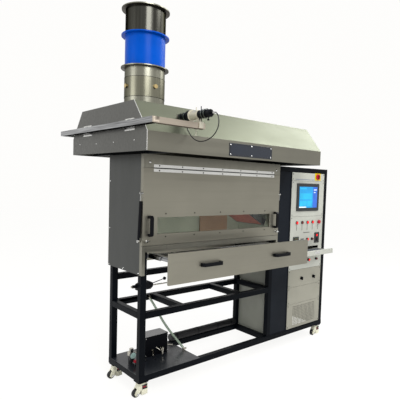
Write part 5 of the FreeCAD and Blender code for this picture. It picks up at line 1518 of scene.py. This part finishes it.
@dataclass
class ControlCabinet(Assembly):
    """The control column with its plates, screen, switches and keyboard tray."""

    zones: tuple[Zone, ...] = (
        Zone(YELLOW_PLATE, z=above(1700)),  # the main switch's plate
        Zone(RED_LENS, x=below(2070), z=(1255, 1288)),  # the lamps
        Zone(RED_LENS, x=above(2120), y=below(-3), z=(1115, 1139)),  # the rocker's lamp
        Zone(CHROME, x=above(2100), z=(1200, 1700)),  # the emergency stop's collar
        Zone(DARK_RED_PLASTIC, x=(1830, 1920), z=(1255, 1288)),  # the dark lamp
    )
    inner_side: float = 1440.0
    lamp_x: tuple[float, ...] = (1788, 1875, 1962, 2048)
    lamp_z: float = 1271.0
    # Height under which the control plates take the painted shade.
    painted_shade_below: float = 784.0
    grip_front: float = -16.0
    screen: tuple[float, ...] = (1802, 2098, 1425, 1643)
    screen_front: float = -10.0
    plate_rows: tuple[Span, ...] = (
        (176, 426), (428, 603), (605, 783), (785, 1334), (1336, 1700), (1702, 1785),
    )
    plate_left: float = 1706.0
    plate_span: float = 504.0
    switch_plate: tuple[Place, Place] = ((2060, -2.4, 1712), (2158, 0.3, 1788))
    rocker_plate: tuple[Place, Place] = ((2090, -2.4, 1044), (2174, 0.3, 1157))
    meter: tuple[Place, Place] = ((1752, -9, 1094), (1812, -7.9, 1118))
    bar: tuple[Place, Place] = ((1758, -9.6, 1099), (1764, -8.9, 1111))
    bar_pitch: float = 13.0
    strip_size: Span = (7.0, 55.0)
    strip_low: float = 1190.0
    stop_x: float = 2146.0
    knob_middle: Place = (2108, -3.5, 1750)
    key_start: Place = (1781, -110, 979)
    key_pitch: float = 0.0185
    key_half: float = 0.0082
    keys: tuple[int, int] = (20, 6)
    tray_lock: Place = (1958, -151, 972)
    tray_pull: tuple[Place, Place] = ((1913, -153, 960), (2003, -151, 984))
    strips: tuple[tuple[Place, Place], ...] = (
        ((1860, -1, 1088), (1914, 0.2, 1104)), ((1900, -1, 1160), (2005, 0.2, 1168)),
    )
    title: tuple[Place, Place] = ((1741, -1, 1714), (2050, 0.2, 1719))

    def build(self) -> None:
        """Dress the cabinet from its sheets to its buttons."""
        self.carry("cabinet_panels", CHARCOAL_COAT, 0.0006,
                   Zone(SHEET_COAT, x=below(self.inner_side)))
        # The plates under this height, and the grille, take the darker coat as painted shade.
        self.carry("control_plates", PANEL_COAT, 0.0005, Zone(SHADED_PANEL_COAT, z=below(self.painted_shade_below)))
        self.carry("vent_grille", SHADED_PANEL_COAT)
        self.carry("touch_screen", BEZEL, 0.0015)
        self.carry("panel_fittings", PANEL_BLACK, 0.0004, *self.zones)
        self.display()
        self.plate_screws()
        self.boxes("meter_window", [self.meter], METER_FACE, 0.0002)
        bars = [
            tuple((x + self.bar_pitch * number, y, z) for x, y, z in self.bar)
            for number in range(4)
        ]
        self.boxes("meter_marks", bars, DARK_RED_PLASTIC, 0.0002)
        self.switches()
        self.keyboard()
        low, (wide, tall) = self.strip_low, self.strip_size
        labels = [((x - wide / 2, -1, low), (x + wide / 2, 0.2, low + tall))
                  for x in (*self.lamp_x, self.stop_x)]
        self.boxes("bare_labels", [*labels, *self.strips], LABEL_GREY, 0.0003)
        self.boxes("title_rule", [self.title], RULE_BLUE, 0.0003)

    def display(self) -> None:
        """Light the screen with a plain generic page."""
        left, right, low, high = self.screen
        y = self.screen_front
        for name, finish, areas in (
            ("field", SCREEN_BLUE, [(left, right, low, high, 0.6, 0)]),
            ("tiles", SCREEN_LIGHT, [
                (left + 10, left + 110, high - 26, high - 12, 1, 0.5),
                (left + 12, left + 120, low + 16, low + 74, 1, 0.5),
                (left + 130, left + 206, low + 16, low + 74, 1, 0.5),
                (left + 12, left + 206, low + 88, low + 150, 1, 0.5),
            ]),
            ("bar", SCREEN_NAVY, [(right - 74, right, low, high, 1, 0.5)]),
            ("marks", SCREEN_WHITE, [
                (left, left + 116, low, low + 12, 1.1, 0.5),
                (right - 60, right - 14, high - 36, high - 26, 1.3, 0.9),
                (right - 60, right - 30, high - 62, high - 54, 1.3, 0.9),
            ]),
        ):
            slabs = [((x0, y - out, z0), (x1, y - back, z1))
                     for x0, x1, z0, z1, out, back in areas]
            self.boxes(f"screen_{name}", slabs, finish, 0.0002)

    def plate_screws(self) -> None:
        """Screw each control plate at its corners."""
        for number, (low, high) in enumerate(self.plate_rows):
            inset = min(16.0, (high - low) / 4)
            self.screws(
                f"plate_screws_{number}", Fastener.PAN_SCREW, FORWARD,
                (self.plate_left, 0, low + inset), (self.plate_span, 0, 0), 2, PANEL_BLACK,
                (0, 0, high - low - 2 * inset),
            )

    def switches(self) -> None:
        """Dress the lamps, knobs and buttons, which move by themselves."""
        self.boxes("switch_frame", [self.switch_plate], YELLOW_PLATE)
        self.boxes("rocker_frame", [self.rocker_plate], PANEL_BLACK, 0.001)
        self.carry("main_switch_knob", RED_PLASTIC, 0.0008,
                   Zone(DARK_RED_PLASTIC, y=below(self.grip_front)))
        self.carry("emergency_stop", RED_PLASTIC, 0.0008)
        for label, cap in (("start", RED_LENS), ("stop", DARK_RED_PLASTIC), ("gas", RED_LENS),
                           ("air", DARK_RED_PLASTIC)):
            self.carry(f"{label}_button", PANEL_BLACK, 0.0005, Zone(cap, facing=FORWARD, lean=0.9))
        self.lamps()
        self.carry("rocker_switch", BLACK_PLASTIC, 0.0005)
        for side in ("left", "right"):
            self.carry(f"selector_{side}", BLACK_PLASTIC, 0.0006)

    def lamps(self) -> None:
        """Stand the lamps in black barrels, and the main switch's knob in its red ring."""
        lit = [(x, 0, self.lamp_z) for x in self.lamp_x]
        self.turnings("lamp_barrels", lit, FORWARD, ((0, 17), (10.4, 16)), PANEL_BLACK)
        dark = lit.pop(1)
        lens = ((10.4, 14.6), (11.6, 14), (12.4, 10))
        self.turnings("lamp_lenses", lit, FORWARD, lens, RED_LENS)
        self.turnings("dark_lens", [dark], FORWARD, lens, DARK_RED_PLASTIC)
        ring = ((0, 16), (0, 32), (7, 31), (8.5, 29), (8.5, 16))
        Assembly("main_switch").turnings("knob_ring", [self.knob_middle], FORWARD, ring,
                                         RED_PLASTIC, 48, True)

    def keyboard(self) -> None:
        """Dress the keyboard tray, set its keys and fit its lock."""
        tray = Assembly("keyboard_tray")
        tray.carry("keyboard_tray", PANEL_COAT, 0.0008)
        form = bmesh.new()
        half, pitch = self.key_half, self.key_pitch
        box_form(form, Vector((-half, -half, -0.001)), Vector((half, half, 0.0035)))
        bmesh.ops.bevel(form, geom=form.edges, offset=0.0015, segments=1, affect="EDGES")
        key = bpy.data.objects.new("key", mesh_of("key", form))
        count, rows = self.keys
        keys = Repeats.grid("keys", key, KEY_PLASTIC, spot(*self.key_start),
                            RIGHTWARD * pitch, count, -FORWARD * pitch, rows)
        mount(keys, tray.body)
        tray.turnings("tray_lock", [self.tray_lock], FORWARD,
                      ((0, 12), (3, 12), (3, 8), (5, 8)), CHROME)
        tray.boxes("tray_pull", [self.tray_pull], CHROME, 0.0008)


def main() -> None:
    """Build the room, the cords and every sub-assembly in order."""
    logging.basicConfig(level=logging.INFO, format="%(name)s: %(message)s")
    Studio().build()
    Cord("hose_line", "supply_hose", HOSE_RUBBER, HOSE_ROUTE, 0.020, 0.531, "stiff",
         "hanging").build()
    Cord("lamp_lead", "lamp_cable", CABLE_RUBBER, LAMP_CABLE_ROUTE, 0.007, 0.579, "limp",
         "hanging").build()
    SteelFrame().build()
    for corner, wheel_x, middle_y in (
        ("front_left", 0, 46), ("front_right", 2188, 46), ("back_left", 0, 454),
        ("back_right", 2188, 454),
    ):
        Caster(f"caster_{corner}", corner, wheel_x, middle_y).build()
    for assembly in (
        Chamber, ExtractHood, ExhaustDuct, SmokeMeter, ChamberDoor, Burner, SpecimenDrawer,
        ShelfValve, GasTrain, ControlCabinet,
    ):
        assembly().build()


if __name__ == "__main__":
    main()
